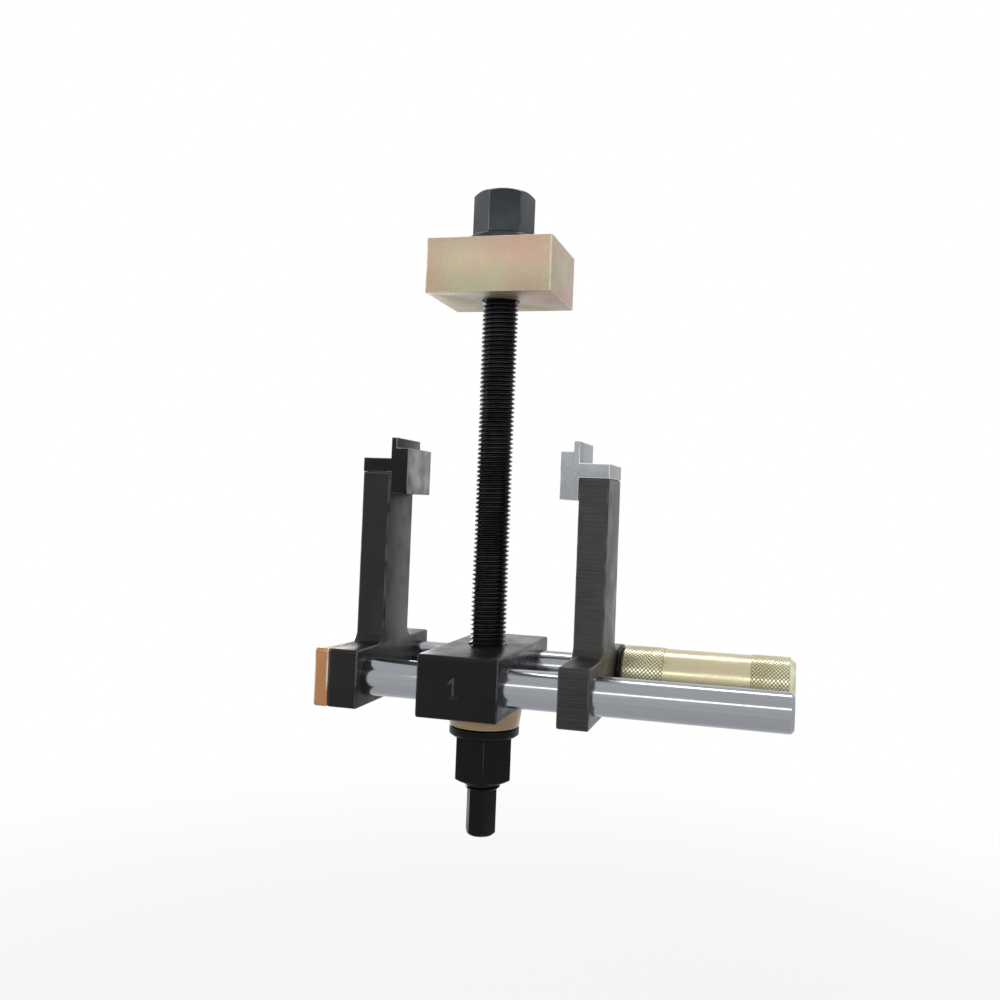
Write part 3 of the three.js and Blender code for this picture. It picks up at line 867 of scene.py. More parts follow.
# Its bright edges, along the lips too, are partly wear and partly a painted highlight.
SATIN_NICKEL = Finish(
    "satin_nickel", "satin_nickel", (0.3456, 0.36, 0.3672), (0.2952, 0.3096, 0.3168),
    (0.7912, 0.7998, 0.7998), 0.4, (0.38, 0.5), line_scale=1700.0, line_depth=0.02 * MM, streak=0.16,
    wear_and_highlight=0.95,
)
BLACK_CLAW = Finish(
    "black_claw", "black_steel", (0.0091, 0.0087, 0.0095), (0.0126, 0.0119, 0.0126),
    (0.34, 0.34, 0.357), 0.35, (0.28, 0.4), line_scale=1500.0, line_depth=0.004 * MM, streak=0.05,
    wear_and_highlight=0.6, sheen=0.15,
)
BARE_STEEL = Finish(
    "bare_claw_face", "black_steel", (0.3348, 0.3348, 0.324), (0.0648, 0.0648, 0.0648),
    (0.616, 0.616, 0.616), 0.5, (0.34, 0.48), line_scale=700.0, streak=0.16, drift=0.8,
    drift_scale=85.0,
)
YELLOW_ZINC = Finish(
    "yellow_zinc", "yellow_zinc", (0.4712, 0.434, 0.279), (0.496, 0.341, 0.248),
    (0.7695, 0.7533, 0.6318), 0.4, (0.38, 0.48), line_scale=1300.0, line_depth=0.004 * MM, streak=0.08,
    wear_and_highlight=0.7, drift=1.0, drift_scale=38.0,
)
SLEEVE_ZINC = Finish(
    "yellow_zinc_sleeve", "yellow_zinc", (0.555, 0.5025, 0.3225), (0.525, 0.4425, 0.2775),
    (0.77, 0.7525, 0.5425), 0.6, (0.2, 0.27), line_scale=900.0, line_depth=0.001 * MM, streak=0.03,
    line_gloss=0.03, wear_and_highlight=1.0, wear_and_highlight_radius=0.12 * MM, drift=0.3,
)
# A darker copy of the sleeve's zinc for the knurl's groove walls: painted shade in the grooves.
KNURL_GROOVE_SHADE = Finish(
    "knurl_groove_painted_shade", "yellow_zinc", (0.468, 0.423, 0.252), (0.414, 0.378, 0.216), (0.57, 0.532, 0.361),
    0.4, (0.3, 0.4), wear_and_highlight=0.2, wear_and_highlight_radius=0.12 * MM,
)
BRONZE_ZINC = Finish(
    "bronze_zinc", "bronze_zinc", (0.44, 0.2145, 0.0798), (0.385, 0.2035, 0.088),
    (0.7362, 0.682, 0.527), 0.45, (0.24, 0.34), line_scale=900.0, line_depth=0.003 * MM, wear_and_highlight=0.8,
    drift=0.6,
)
CUP_BRONZE = Finish(
    "cup_bronze", "bronze_zinc", (0.2856, 0.2016, 0.1134), (0.252, 0.1932, 0.1176),
    (0.6745, 0.4402, 0.284), 0.7, (0.18, 0.28), grain=Grain.LEVEL, line_scale=1400.0,
    line_depth=0.004 * MM, streak=0.14, wear_and_highlight=0.5, drift=0.6,
)
BRASS_CAGE = Finish(
    "brass_cage", "brass_cage", (0.55, 0.4, 0.16), (0.45, 0.32, 0.14), (0.8, 0.66, 0.36), 1.0,
    (0.26, 0.4),
)


class Wardrobe:
    """Makes each finish's material once and dresses pieces in it."""

    def __init__(self, shared: SharedEffects) -> None:
        """Keeps the shared node groups."""
        self.shared = shared
        self.made: dict[str, bpy.types.Material] = {}

    def cloth(self, finish: Finish, edge_share: float = 0.0) -> bpy.types.Material:
        """The material of a finish, made at its first use.

        Args:
            finish: the finish.
            edge_share: how much of the edge colour, for wear and a painted highlight, shows all over.

        Returns:
            The material.
        """
        key = f"{finish.name} {edge_share}"
        if key not in self.made:
            self.made[key] = finish.material(self.shared, edge_share)
        return self.made[key]

    def dress(self, piece: bpy.types.Object, finish: Finish, bare_and_painted_light: Finish | None = None) -> None:
        """Gives a piece one finish, with the lighter edge colour, for wear and a painted highlight, on the
        faces of its edges.

        Args:
            piece: the object to dress.
            finish: its finish.
            bare_and_painted_light: the finish of the faces in the second slot, bare steel on the left claw
                and painted shade on the knurl's groove walls.
        """
        cloths = [self.cloth(finish), self.cloth(finish, finish.wear_and_highlight)]
        if bare_and_painted_light:
            cloths.append(self.cloth(bare_and_painted_light))
        open_slots(piece, len(cloths))
        for slot, cloth in enumerate(cloths):
            piece.data.materials[slot] = cloth

    def dress_node(self, node: str, finish: Finish) -> None:
        """Gives a CAD node that stays a finish, on its object's own slots.

        Args:
            node: the node.
            finish: its finish.
        """
        for slot in frame["nodes"][node].material_slots:
            slot.link = "OBJECT"
            slot.material = self.cloth(finish)


@dataclass
class Assembly:
    """A sub-assembly that models its pieces and hands them to the frame."""

    wardrobe: Wardrobe

    def hand_over(
        self, piece: bpy.types.Object, node: str, finish: Finish, bare_and_painted_light: Finish | None = None
    ) -> None:
        """Dresses a piece, lets it ride on its node's body and stand for that node.

        Args:
            piece: the finished object.
            node: the CAD node that it stands for.
            finish: its finish.
            bare_and_painted_light: the finish of its faces in the second slot, bare steel on the left claw
                and painted shade on the knurl's groove walls.
        """
        bodies = frame["record"]["behaviour"]["bodies"]
        body = next(name for name, nodes in bodies.items() if node in nodes)
        self.wardrobe.dress(piece, finish, bare_and_painted_light)
        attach(piece, body)
        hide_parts(node)
        LOG.info("%s: %d faces on %s", piece.name, len(piece.data.polygons), body)


# ---------------------------------------------------------------- the guide bars


@dataclass
class GuideBars(Assembly):
    """Two ground and chromed bars; the rear one is threaded where the sleeve holds it."""

    chamfer: float = 1.2 * MM
    tap_radius: float = 3.3 * MM
    tap_depth: float = 16.8 * MM
    neck_radius: float = 6.5 * MM
    neck_length: float = 3 * MM
    neck_overlap: float = MM
    edge_width: float = 0.12 * MM

    def build(self) -> None:
        """Models both bars."""
        low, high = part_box("front_guide_bar")
        front = self.plain("front_bar_visual", low, high, True)
        self.hand_over(front, "front_guide_bar", CHROME_BAR)
        low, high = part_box("rear_guide_bar")
        thread_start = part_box("knurled_sleeve")[0].x + self.neck_length
        rear = self.plain("rear_bar_visual", low, Vector((thread_start, high.y, high.z)), False)
        radius = (high.z - low.z) / 2
        ends = (self.chamfer, self.chamfer)
        thread = Thread(radius).build("bar_thread", thread_start - self.neck_overlap, high.x, Axis.X, ends)
        moved(thread, off_x(low, high))
        combine(rear, thread, "UNION")
        smooth(rear)
        self.hand_over(rear, "rear_guide_bar", CHROME_BAR)

    def plain(self, name: str, low: Vector, high: Vector, free_end: bool) -> bpy.types.Object:
        """A bar, tapped at its left end and either chamfered or necked at its right.

        Args:
            name: the object's name.
            low: the bar's lowest corner.
            high: the bar's highest corner.
            free_end: whether the right end is a plain chamfered one.

        Returns:
            The new object.
        """
        radius = (high.z - low.z) / 2
        right = [(radius, high.x - self.chamfer), (radius - self.chamfer, high.x), (0, high.x)]
        if not free_end:
            neck_start = high.x - self.neck_length
            right = [
                (radius, neck_start - self.chamfer), (self.neck_radius, neck_start),
                (self.neck_radius, high.x), (0, high.x),
            ]
        profile = [
            (0, low.x + self.tap_depth), (self.tap_radius, low.x + self.tap_depth), (self.tap_radius, low.x),
            (radius - self.chamfer, low.x), (radius, low.x + self.chamfer), *right,
        ]
        bar = turned(name, profile, Axis.X)
        moved(bar, off_x(low, high))
        soften(bar, self.edge_width)
        smooth(bar)
        return bar


# ---------------------------------------------------------------- legs, crosshead and end plate


@dataclass
class CrossPieces(Assembly):
    """The two legs on their brackets, the crosshead block and the left end plate."""

    corner_radius: float = 1.5 * MM
    shoulder_radius: float = 4 * MM
    edge_width: float = 0.7 * MM
    bore_gap: float = 0.12 * MM
    screw_gap: float = 0.2 * MM
    spindle_gap: float = 0.6 * MM
    overrun: float = MM
    numeral_height: float = 8.5 * MM
    numeral_depth: float = 0.3 * MM
    numeral_place: float = -1.5 * MM
    numeral_stroke: float = 1.1 * MM
    screw_hole: float = 2.8 * MM
    screw_reach: float = 3 * MM
    recess_step: float = 3 * MM
    head_sink: float = 0.9 * MM

    def build(self) -> None:
        """Models each cross piece."""
        self.leg("left_leg", LEG_STEEL)
        self.leg("right_leg", GROUND_STEEL)
        self.crosshead()
        self.end_plate()

    def bore_bars(self, piece: bpy.types.Object, low: Vector, high: Vector) -> None:
        """Cuts the two bores that the guide bars pass through.

        Args:
            piece: the cross piece.
            low: its lowest corner.
            high: its highest corner.
        """
        for bar in ("front_guide_bar", "rear_guide_bar"):
            bar_low, bar_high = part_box(bar)
            radius = (bar_high.z - bar_low.z) / 2 + self.bore_gap
            cutter = cylinder(radius, low.x - self.overrun, high.x + self.overrun, Axis.X)
            moved(cutter, off_x(bar_low, bar_high))
            combine(piece, cutter, "DIFFERENCE")

    def round_long_edges(self, piece: bpy.types.Object) -> None:
        """Rounds the edges that run along X at the outer corners."""
        self.round_edges(piece, self.is_long_corner, self.corner_radius, 4)

    @staticmethod
    def round_edges(
        piece: bpy.types.Object, wanted: Callable[[bmesh.types.BMEdge], bool], radius: float, segments: int
    ) -> None:
        """Rounds the edges that a test wants.

        Args:
            piece: the object to change.
            wanted: says of an edge whether it is rounded.
            radius: the rounding's radius.
            segments: its faces across.
        """
        with editing(piece, "EDGE"):
            select_edges(piece, wanted)
            bpy.ops.mesh.bevel(offset=radius, segments=segments, affect="EDGES")

    @staticmethod
    def is_long_corner(edge: bmesh.types.BMEdge) -> bool:
        """Whether an edge runs along X between two faces at a right angle."""
        run = (edge.verts[1].co - edge.verts[0].co).normalized()
        return abs(run.x) > 0.99 and edge.calc_face_angle(0) > math.radians(60)

    def leg(self, node: str, finish: Finish) -> None:
        """Models a bracket with the leg that rises from its middle.

        Args:
            node: left_leg or right_leg.
            finish: its finish.
        """
        low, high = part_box(node)
        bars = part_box("front_guide_bar")
        middle = (bars[0].z + bars[1].z) / 2
        shoulder = 2 * middle - low.z
        claw_low, claw_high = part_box(node.replace("leg", "claw"))
        piece = slab(node + "_visual", low, Vector((high.x, high.y, shoulder)))
        for side in (claw_low.y, claw_high.y):
            score(piece, Vector((0, side, 0)), Vector((0, 1, 0)))
        with editing(piece, "FACE"):
            select_faces(piece, lambda centre, normal: normal.z > 0.9 and claw_low.y < centre.y < claw_high.y)
            bpy.ops.mesh.extrude_region_move(TRANSFORM_OT_translate={"value": (0, 0, high.z - shoulder)})
        self.round_edges(
            piece, lambda edge: self.is_shoulder(edge, shoulder, claw_high.y), self.shoulder_radius, 8,
        )
        self.round_edges(
            piece, lambda edge: self.is_long_corner(edge) and edge.verts[0].co.z < shoulder + MM,
            self.corner_radius, 4,
        )
        soften(piece, self.edge_width, 3)
        self.bore_bars(piece, low, high)
        self.drill_for_screws(piece, node.replace("_leg", ""))
        smooth(piece)
        self.hand_over(piece, node, finish)

    @staticmethod
    def is_shoulder(edge: bmesh.types.BMEdge, shoulder: float, half: float) -> bool:
        """Whether an edge is the inner corner between a leg and its bracket's top."""
        return all(
            abs(vertex.co.z - shoulder) < SAME_PLACE and abs(abs(vertex.co.y) - half) < SAME_PLACE
            for vertex in edge.verts
        )

    def drill_for_screws(self, piece: bpy.types.Object, side: str) -> None:
        """Drills the holes of the two claw screws.

        Args:
            piece: the leg.
            side: left or right.
        """
        for place in ("front", "rear"):
            low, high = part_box(f"{side}_claw_screw_{place}")
            centre = (low + high) / 2
            foot, top = low.z - self.screw_reach, high.z + self.overrun
            cutter = cylinder(self.screw_hole, foot, top, Axis.Z, HOLE_STEPS)
            moved(cutter, Vector((centre.x, centre.y, 0)))
            combine(piece, cutter, "DIFFERENCE")

    def crosshead(self) -> None:
        """Models the block, with its numeral on the front."""
        low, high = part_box("crosshead")
        piece = slab("crosshead_visual", low, high)
        self.round_long_edges(piece)
        soften(piece, self.edge_width, 3)
        self.bore_bars(piece, low, high)
        radius = spindle_radius() + self.spindle_gap
        foot = low.z - self.overrun
        combine(piece, cylinder(radius, foot, high.z + self.overrun, Axis.Z), "DIFFERENCE")
        cup_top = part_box("bearing_cup")[1].z + self.screw_gap
        combine(piece, cylinder(radius + self.recess_step, foot, cup_top, Axis.Z), "DIFFERENCE")
        self.engrave(piece, low)
        smooth(piece)
        self.hand_over(piece, "crosshead", BLACK_STEEL)

    def engrave(self, piece: bpy.types.Object, low: Vector) -> None:
        """Cuts the plain numeral into the block's front face.

        Args:
            piece: the block.
            low: its lowest corner.
        """
        block_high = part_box("crosshead")[1]
        foot = (low.z + block_high.z - self.numeral_height) / 2
        top, stem = self.numeral_height, self.numeral_stroke / 2
        reach, serif, brow = 0.27 * top, 0.1 * top, 0.22 * top
        outline = [
            (-reach, 0), (reach, 0), (reach, serif), (stem, serif), (stem, top), (-stem, top),
            (-reach, top - brow), (-reach, top - brow - serif), (-stem, top - brow), (-stem, serif),
            (-reach, serif), (-reach, 0),
        ]
        start = low.y - self.overrun
        numeral = chain("numeral", [Vector((self.numeral_place + x, start, foot + z)) for x, z in outline])
        tidy_mesh(numeral)
        with editing(numeral, "EDGE"):
            bpy.ops.mesh.select_all(action="SELECT")
            bpy.ops.mesh.edge_face_add()
            depth = self.overrun + self.numeral_depth
            bpy.ops.mesh.extrude_region_move(TRANSFORM_OT_translate={"value": (0, depth, 0)})
        tidy_mesh(numeral)
        open_slots(numeral, EDGE_SLOT + 1)
        with editing(numeral):
            bpy.ops.mesh.select_all(action="SELECT")
            assign_slot(numeral, EDGE_SLOT)
        combine(piece, numeral, "DIFFERENCE")

    def end_plate(self) -> None:
        """Models the plate screwed over the left bracket's outer face."""
        low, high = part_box("left_end_plate")
        piece = slab("end_plate_visual", low, high)
        self.round_long_edges(piece)
        soften(piece, self.edge_width, 3)
        for place in ("front", "rear"):
            screw_low, screw_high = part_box(f"end_plate_screw_{place}")
            head = (screw_high.z - screw_low.z) / 2 + self.screw_gap
            shank = head / 2 + self.screw_gap
            seat = low.x + self.head_sink
            profile = [
                (0, low.x - self.overrun), (head, low.x - self.overrun), (head, seat),
                (shank, seat + head - shank), (shank, high.x + self.overrun), (0, high.x + self.overrun),
            ]
            cutter = moved(turned("cutter", profile, Axis.X), off_x(screw_low, screw_high))
            combine(piece, cutter, "DIFFERENCE")
        smooth(piece)
        self.hand_over(piece, "left_end_plate", BRONZE_ZINC)


# ---------------------------------------------------------------- claws


@dataclass
class Claws(Assembly):
    """The two stepped claws on top of the legs."""

    lip: float = 2.6 * MM
    reach: float = 8.2 * MM
    seat_drop: float = 4.6 * MM
    flange: float = 6.2 * MM
    face_gap: float = 0.1 * MM
    edge_width: float = 0.45 * MM
    head_radius: float = 5.0 * MM
    shank_radius: float = 2.8 * MM
    head_sink: float = 0.4 * MM
    flange_rise: float = 0.2 * MM

    def build(self) -> None:
        """Models both claws."""
        for side, outward in (("left", -1), ("right", 1)):
            self.claw(side, outward)

    def outline(self, inner: float, outward: int, low: Vector, high: Vector) -> list[Vector]:
        """The claw's side view, as a closed line at its front.

        Args:
            inner: the leg's inner face.
            outward: 1 or -1, towards the leg.
            low: the claw's lowest corner.
            high: the claw's highest corner.

        Returns:
            The corners, with the first one repeated at the end.
        """
        leg_low, leg_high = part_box("right_leg")
        depth = leg_high.x - leg_low.x
        seat = high.z - self.seat_drop
        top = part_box("left_claw_screw_front")[1].z + self.flange_rise
        corners = [
            (depth, top - self.flange), (depth, top), (0, top), (0, high.z), (-self.lip, high.z),
            (-self.lip, seat), (-self.reach, seat), (-self.reach, low.z), (-self.face_gap, low.z),
            (-self.face_gap, top - self.flange),
        ]
        points = [Vector((inner + outward * along, low.y, up)) for along, up in corners]
        return [*points, points[0]]

    def claw(self, side: str, outward: int) -> None:
        """Models one claw.

        Args:
            side: left or right.
            outward: 1 or -1, towards the leg.
        """
        low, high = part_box(f"{side}_claw")
        leg_low, leg_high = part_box(f"{side}_leg")
        inner = leg_low.x if outward > 0 else leg_high.x
        piece = chain(f"{side}_claw_visual", self.outline(inner, outward, low, high))
        tidy_mesh(piece)
        with editing(piece, "EDGE"):
            bpy.ops.mesh.select_all(action="SELECT")
            bpy.ops.mesh.edge_face_add()
            bpy.ops.mesh.extrude_region_move(TRANSFORM_OT_translate={"value": (0, high.y - low.y, 0)})
        tidy_mesh(piece)
        for place in ("front", "rear"):
            self.countersink(piece, f"{side}_claw_screw_{place}")
        soften(piece, self.edge_width, 3)
        smooth(piece)
        if outward > 0:
            self.hand_over(piece, f"{side}_claw", SATIN_NICKEL)
            return
        self.bare_inner_face(piece, high.x)
        self.hand_over(piece, f"{side}_claw", BLACK_CLAW, BARE_STEEL)

    def bare_inner_face(self, piece: bpy.types.Object, face: float) -> None:
        """Puts the tongue's inner face, where the black has gone, in the second slot.

        Args:
            piece: the left claw.
            face: where the face lies along X.
        """
        open_slots(piece, BARE_AND_SHADE_SLOT + 1)
        with editing(piece):
            select_faces(
                piece, lambda centre, normal: normal.x > 0.9 and abs(centre.x - face) < self.edge_width,
            )
            assign_slot(piece, BARE_AND_SHADE_SLOT)

    def countersink(self, piece: bpy.types.Object, screw: str) -> None:
        """Cuts the seat of a countersunk screw.

        Args:
            piece: the claw.
            screw: the screw's node.
        """
        low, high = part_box(screw)
        head, shank = self.head_radius, self.shank_radius
        seat = high.z - self.head_sink
        profile = [
            (0, low.z), (shank, low.z), (shank, seat - head + shank), (head, seat),
            (head, high.z + MM), (0, high.z + MM),
        ]
        cutter = turned("cutter", profile, Axis.Z, SCREW_STEPS)
        moved(cutter, Vector(((low.x + high.x) / 2, (low.y + high.y) / 2, 0)))
        combine(piece, cutter, "DIFFERENCE")


# ---------------------------------------------------------------- screws


@dataclass
class Screws(Assembly):
    """The countersunk socket screws."""

    rim: float = 0.4 * MM
    tip: float = 0.5 * MM
    edge_width: float = 0.1 * MM

    def build(self) -> None:
        """Models one screw of each size, and copies it to its places."""
        claw = self.screw(
            "claw_screw", head=4.7 * MM, shank=2.5 * MM, height=2.5 * MM, length=16 * MM, socket=3 * MM,
            depth=1.8 * MM,
        )
        for side in ("left", "right"):
            for place in ("front", "rear"):
                self.put(claw, f"{side}_claw_screw_{place}", Axis.Z)
        bpy.data.objects.remove(claw)
        plate = self.screw(
            "plate_screw", head=6 * MM, shank=3 * MM, height=3 * MM, length=20 * MM, socket=4 * MM,
            depth=2.2 * MM,
        )
        for place in ("front", "rear"):
            self.put(plate, f"end_plate_screw_{place}", Axis.X)
        bpy.data.objects.remove(plate)

    def screw(
        self, name: str, head: float, shank: float, height: float, length: float, socket: float,
        depth: float,
    ) -> bpy.types.Object:
        """Models a screw with its head's face at the origin.

        Args:
            name: the object's name.
            head: the head's radius.
            shank: the shank's radius.
            height: the head's height.
            length: the whole length.
            socket: the socket's flats.
            depth: the socket's depth.

        Returns:
            The new object.
        """
        profile = [
            (0, -length), (shank - self.tip, -length), (shank, self.tip - length), (shank, -height),
            (head, -self.rim), (head, 0), (0, 0),
        ]
        piece = turned(name, profile, Axis.Z, SCREW_STEPS)
        combine(piece, hexagon("socket", socket, -depth, depth, 0), "DIFFERENCE")
        soften(piece, self.edge_width)
        smooth(piece)
        return piece

    def put(self, pattern: bpy.types.Object, node: str, axis: Axis) -> None:
        """Copies a screw to a node's place.

        Args:
            pattern: the modelled screw.
            node: the CAD node.
            axis: Z for a head that looks up, X for one that looks left.
        """
        low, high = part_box(node)
        middle = (low + high) / 2
        copy = copied(pattern, node + "_visual")
        if axis is Axis.Z:
            settled(copy, (middle.x, middle.y, high.z))
        else:
            settled(copy, (low.x, middle.y, middle.z), (0, -math.pi / 2, 0))
        self.hand_over(copy, node, BLACK_OXIDE)


# ---------------------------------------------------------------- spindle, nuts and plate


@dataclass
class Spindle(Assembly):
    """The threaded spindle with its hexagonal drive."""

    flats: float = 12 * MM
    corner_deg: float = 57.8
    drive_length: float = 20 * MM
    chamfer: float = 1.5 * MM
    root_reach: float = 3 * MM
    crest_depth: float = 0.2 * MM
    corner_gap: float = 0.1 * MM
    edge_width: float = 0.15 * MM
    sharp_deg: float = 25

    def build(self) -> None:
        """Models the spindle."""
        low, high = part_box("spindle")
        radius = spindle_radius()
        thread_low = low.z + self.drive_length
        ends = (self.chamfer, self.chamfer)
        rod = Thread(radius).build("spindle_visual", thread_low, high.z, Axis.Z, ends)
        drive = hexagon("drive", self.flats, low.z, thread_low + self.root_reach, self.corner_deg)
        corner = self.flats / math.sqrt(3)
        outer, top = corner + self.corner_gap, thread_low + 2 * self.root_reach
        profile = [
            (0, low.z), (corner - self.chamfer, low.z), (outer, low.z + self.chamfer), (outer, top), (0, top),
        ]
        combine(drive, turned("envelope", profile), "INTERSECT")
        soften(drive, self.edge_width)
        combine(rod, drive, "UNION")
        self.lighten_crests_for_wear_and_glint(rod, radius, thread_low)
        smooth(rod, math.radians(self.sharp_deg))
        self.hand_over(rod, "spindle", BLACK_OXIDE)

    def lighten_crests_for_wear_and_glint(self, rod: bpy.types.Object, radius: float, foot: float) -> None:
        """Puts the thread's crests in the edge slot, whose lighter colour stands for wear at the crests and
        partly for a painted glint.

        Args:
            rod: the spindle.
            radius: its radius.
            foot: where its thread starts.
        """
        open_slots(rod, EDGE_SLOT + 1)
        with editing(rod):
            select_faces(
                rod,
                lambda centre, normal: centre.z > foot and abs(normal.z) < 0.3
                and math.hypot(centre.x, centre.y) > radius - self.crest_depth,
            )
            assign_slot(rod, EDGE_SLOT)


@dataclass
class CollarNuts(Assembly):
    """The two collar nuts: the upper one stands on its collar, the lower one hangs from it."""

    flats: float = 24 * MM
    collar_height: float = 4 * MM
    collar_chamfer: float = 0.6 * MM
    face_inset: float = 0.6 * MM
    bore_radius: float = 8.15 * MM
    mouth: float = 1.0 * MM
    chamfer_deg: float = 30
    edge_width: float = 0.2 * MM
    corner_gap: float = 0.1 * MM
    upper_corner_deg: float = 17
    lower_corner_deg: float = -47

    def build(self) -> None:
        """Models both nuts."""
        low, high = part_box("upper_nut")
        collar = (high.x - low.x) / 2
        upper = self.nut("upper_nut_visual", self.upper_corner_deg, high.z - low.z, collar)
        # The upper nut wears the lighter copy of the black oxide: painted light.
        self.hand_over(moved(upper, Vector((0, 0, low.z))), "upper_nut", BLACK_OXIDE_PAINTED_LIGHT)
        low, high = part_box("lower_nut")
        collar = (high.x - low.x) / 2
        lower = self.nut("lower_nut_visual", self.lower_corner_deg, high.z - low.z, collar)
        self.hand_over(settled(lower, (0, 0, high.z), (math.pi, 0, 0)), "lower_nut", BLACK_OXIDE)

    def nut(self, name: str, corner_deg: float, height: float, collar: float) -> bpy.types.Object:
        """A nut with its collar's face at z = 0.

        Args:
            name: the object's name.
            corner_deg: where one corner points.
            height: the nut's height.
            collar: the collar's radius.

        Returns:
            The new object.
        """
        corner = self.flats / math.sqrt(3)
        face = self.flats / 2 - self.face_inset
        drop = (corner - face) * math.tan(math.radians(self.chamfer_deg))
        piece = hexagon(name, self.flats, self.collar_height / 2, height, corner_deg)
        outer = corner + self.corner_gap
        profile = [(0, 0), (outer, 0), (outer, height - drop), (face, height), (0, height)]
        combine(piece, turned("envelope", profile), "INTERSECT")
        soften(piece, self.edge_width)
        rise = self.collar_height + self.collar_chamfer
        ring = turned(
            "collar",
            [
                (0, 0), (collar - self.collar_chamfer, 0), (collar, self.collar_chamfer),
                (collar, self.collar_height - self.collar_chamfer), (corner, rise), (0, rise),
            ],
        )
        soften(ring, self.edge_width)
        combine(piece, ring, "UNION")
        bore, mouth = self.bore_radius, self.mouth
        cutter = turned(
            "cutter",
            [
                (0, -MM), (bore + mouth + MM, -MM), (bore, mouth), (bore, height - mouth),
                (bore + mouth + MM, height + MM), (0, height + MM),
            ],
        )
        combine(piece, cutter, "DIFFERENCE")
        smooth(piece)
        return piece


@dataclass
class PressurePlate(Assembly):
    """The rectangular plate under the upper nut."""

    corner_radius: float = 1.0 * MM
    edge_width: float = 0.45 * MM
    bore_gap: float = 0.5 * MM

    def build(self) -> None:
        """Models the plate."""
        low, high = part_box("pressure_plate")
        piece = slab("pressure_plate_visual", low, high)
        with editing(piece, "EDGE"):
            select_edges(piece, lambda edge: abs((edge.verts[1].co - edge.verts[0].co).normalized().z) > 0.99)
            bpy.ops.mesh.bevel(offset=self.corner_radius, segments=3, affect="EDGES")
        radius = spindle_radius() + self.bore_gap
        combine(piece, cylinder(radius, low.z - MM, high.z + MM, Axis.Z), "DIFFERENCE")
        soften(piece, self.edge_width)
        smooth(piece)
        self.hand_over(piece, "pressure_plate", YELLOW_ZINC)


@dataclass
class ThrustBearing(Assembly):
    """The cup under the crosshead, with the bearing in it."""

    web: float = 1.6 * MM
    rim_wall: float = 1.4 * MM
    spigot: float = 2.7 * MM
    bore_gap: float = 1.0 * MM
    ball_radius: float = 1.75 * MM
    ball_steps: int = 14
    pocket_gap: float = 0.3 * MM
    edge_width: float = 0.2 * MM

    def build(self) -> None:
        """Models the cup and the balls, and dresses the races and the cage."""
        self.cup()
        for race in ("upper_race", "lower_race"):
            self.wardrobe.dress_node(race, BRIGHT_STEEL)
        self.wardrobe.dress_node("ball_cage", BRASS_CAGE)
        self.balls()

    def cup(self) -> None:
        """Models the tapered cup."""
        low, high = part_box("bearing_cup")
        race_low, race_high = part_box("upper_race")
        bore = spindle_radius() + self.bore_gap
        top = high.z - self.spigot
        pocket = (race_high.x - race_low.x) / 2 + self.pocket_gap
        outer = (high.x - low.x) / 2
        rim = pocket + self.rim_wall
        spigot = bore + self.spigot
        profile = [
            (bore, top - self.web), (pocket, top - self.web), (pocket, low.z), (rim, low.z), (outer, top),
            (spigot, top), (spigot, high.z), (bore, high.z), (bore, top - self.web),
        ]
        piece = turned("bearing_cup_visual", profile)
        soften(piece, self.edge_width)
        smooth(piece)
        self.hand_over(piece, "bearing_cup", CUP_BRONZE)

    def balls(self) -> None:
        """Models one ball and copies it to its places."""
        angles = [math.pi * (step / self.ball_steps - 0.5) for step in range(self.ball_steps + 1)]
        radius = self.ball_radius
        profile = [(radius * math.cos(angle), radius * math.sin(angle)) for angle in angles]
        pattern = turned("ball", profile, Axis.Z, 2 * self.ball_steps)
        smooth(pattern, math.pi)
        for node in sorted(name for name in frame["nodes"] if name.startswith("bearing_ball")):
            low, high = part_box(node)
            ball = copied(pattern, node + "_visual")
            self.hand_over(settled(ball, (low + high) / 2), node, BRIGHT_STEEL)
        bpy.data.objects.remove(pattern)


# ---------------------------------------------------------------- sleeve and washer


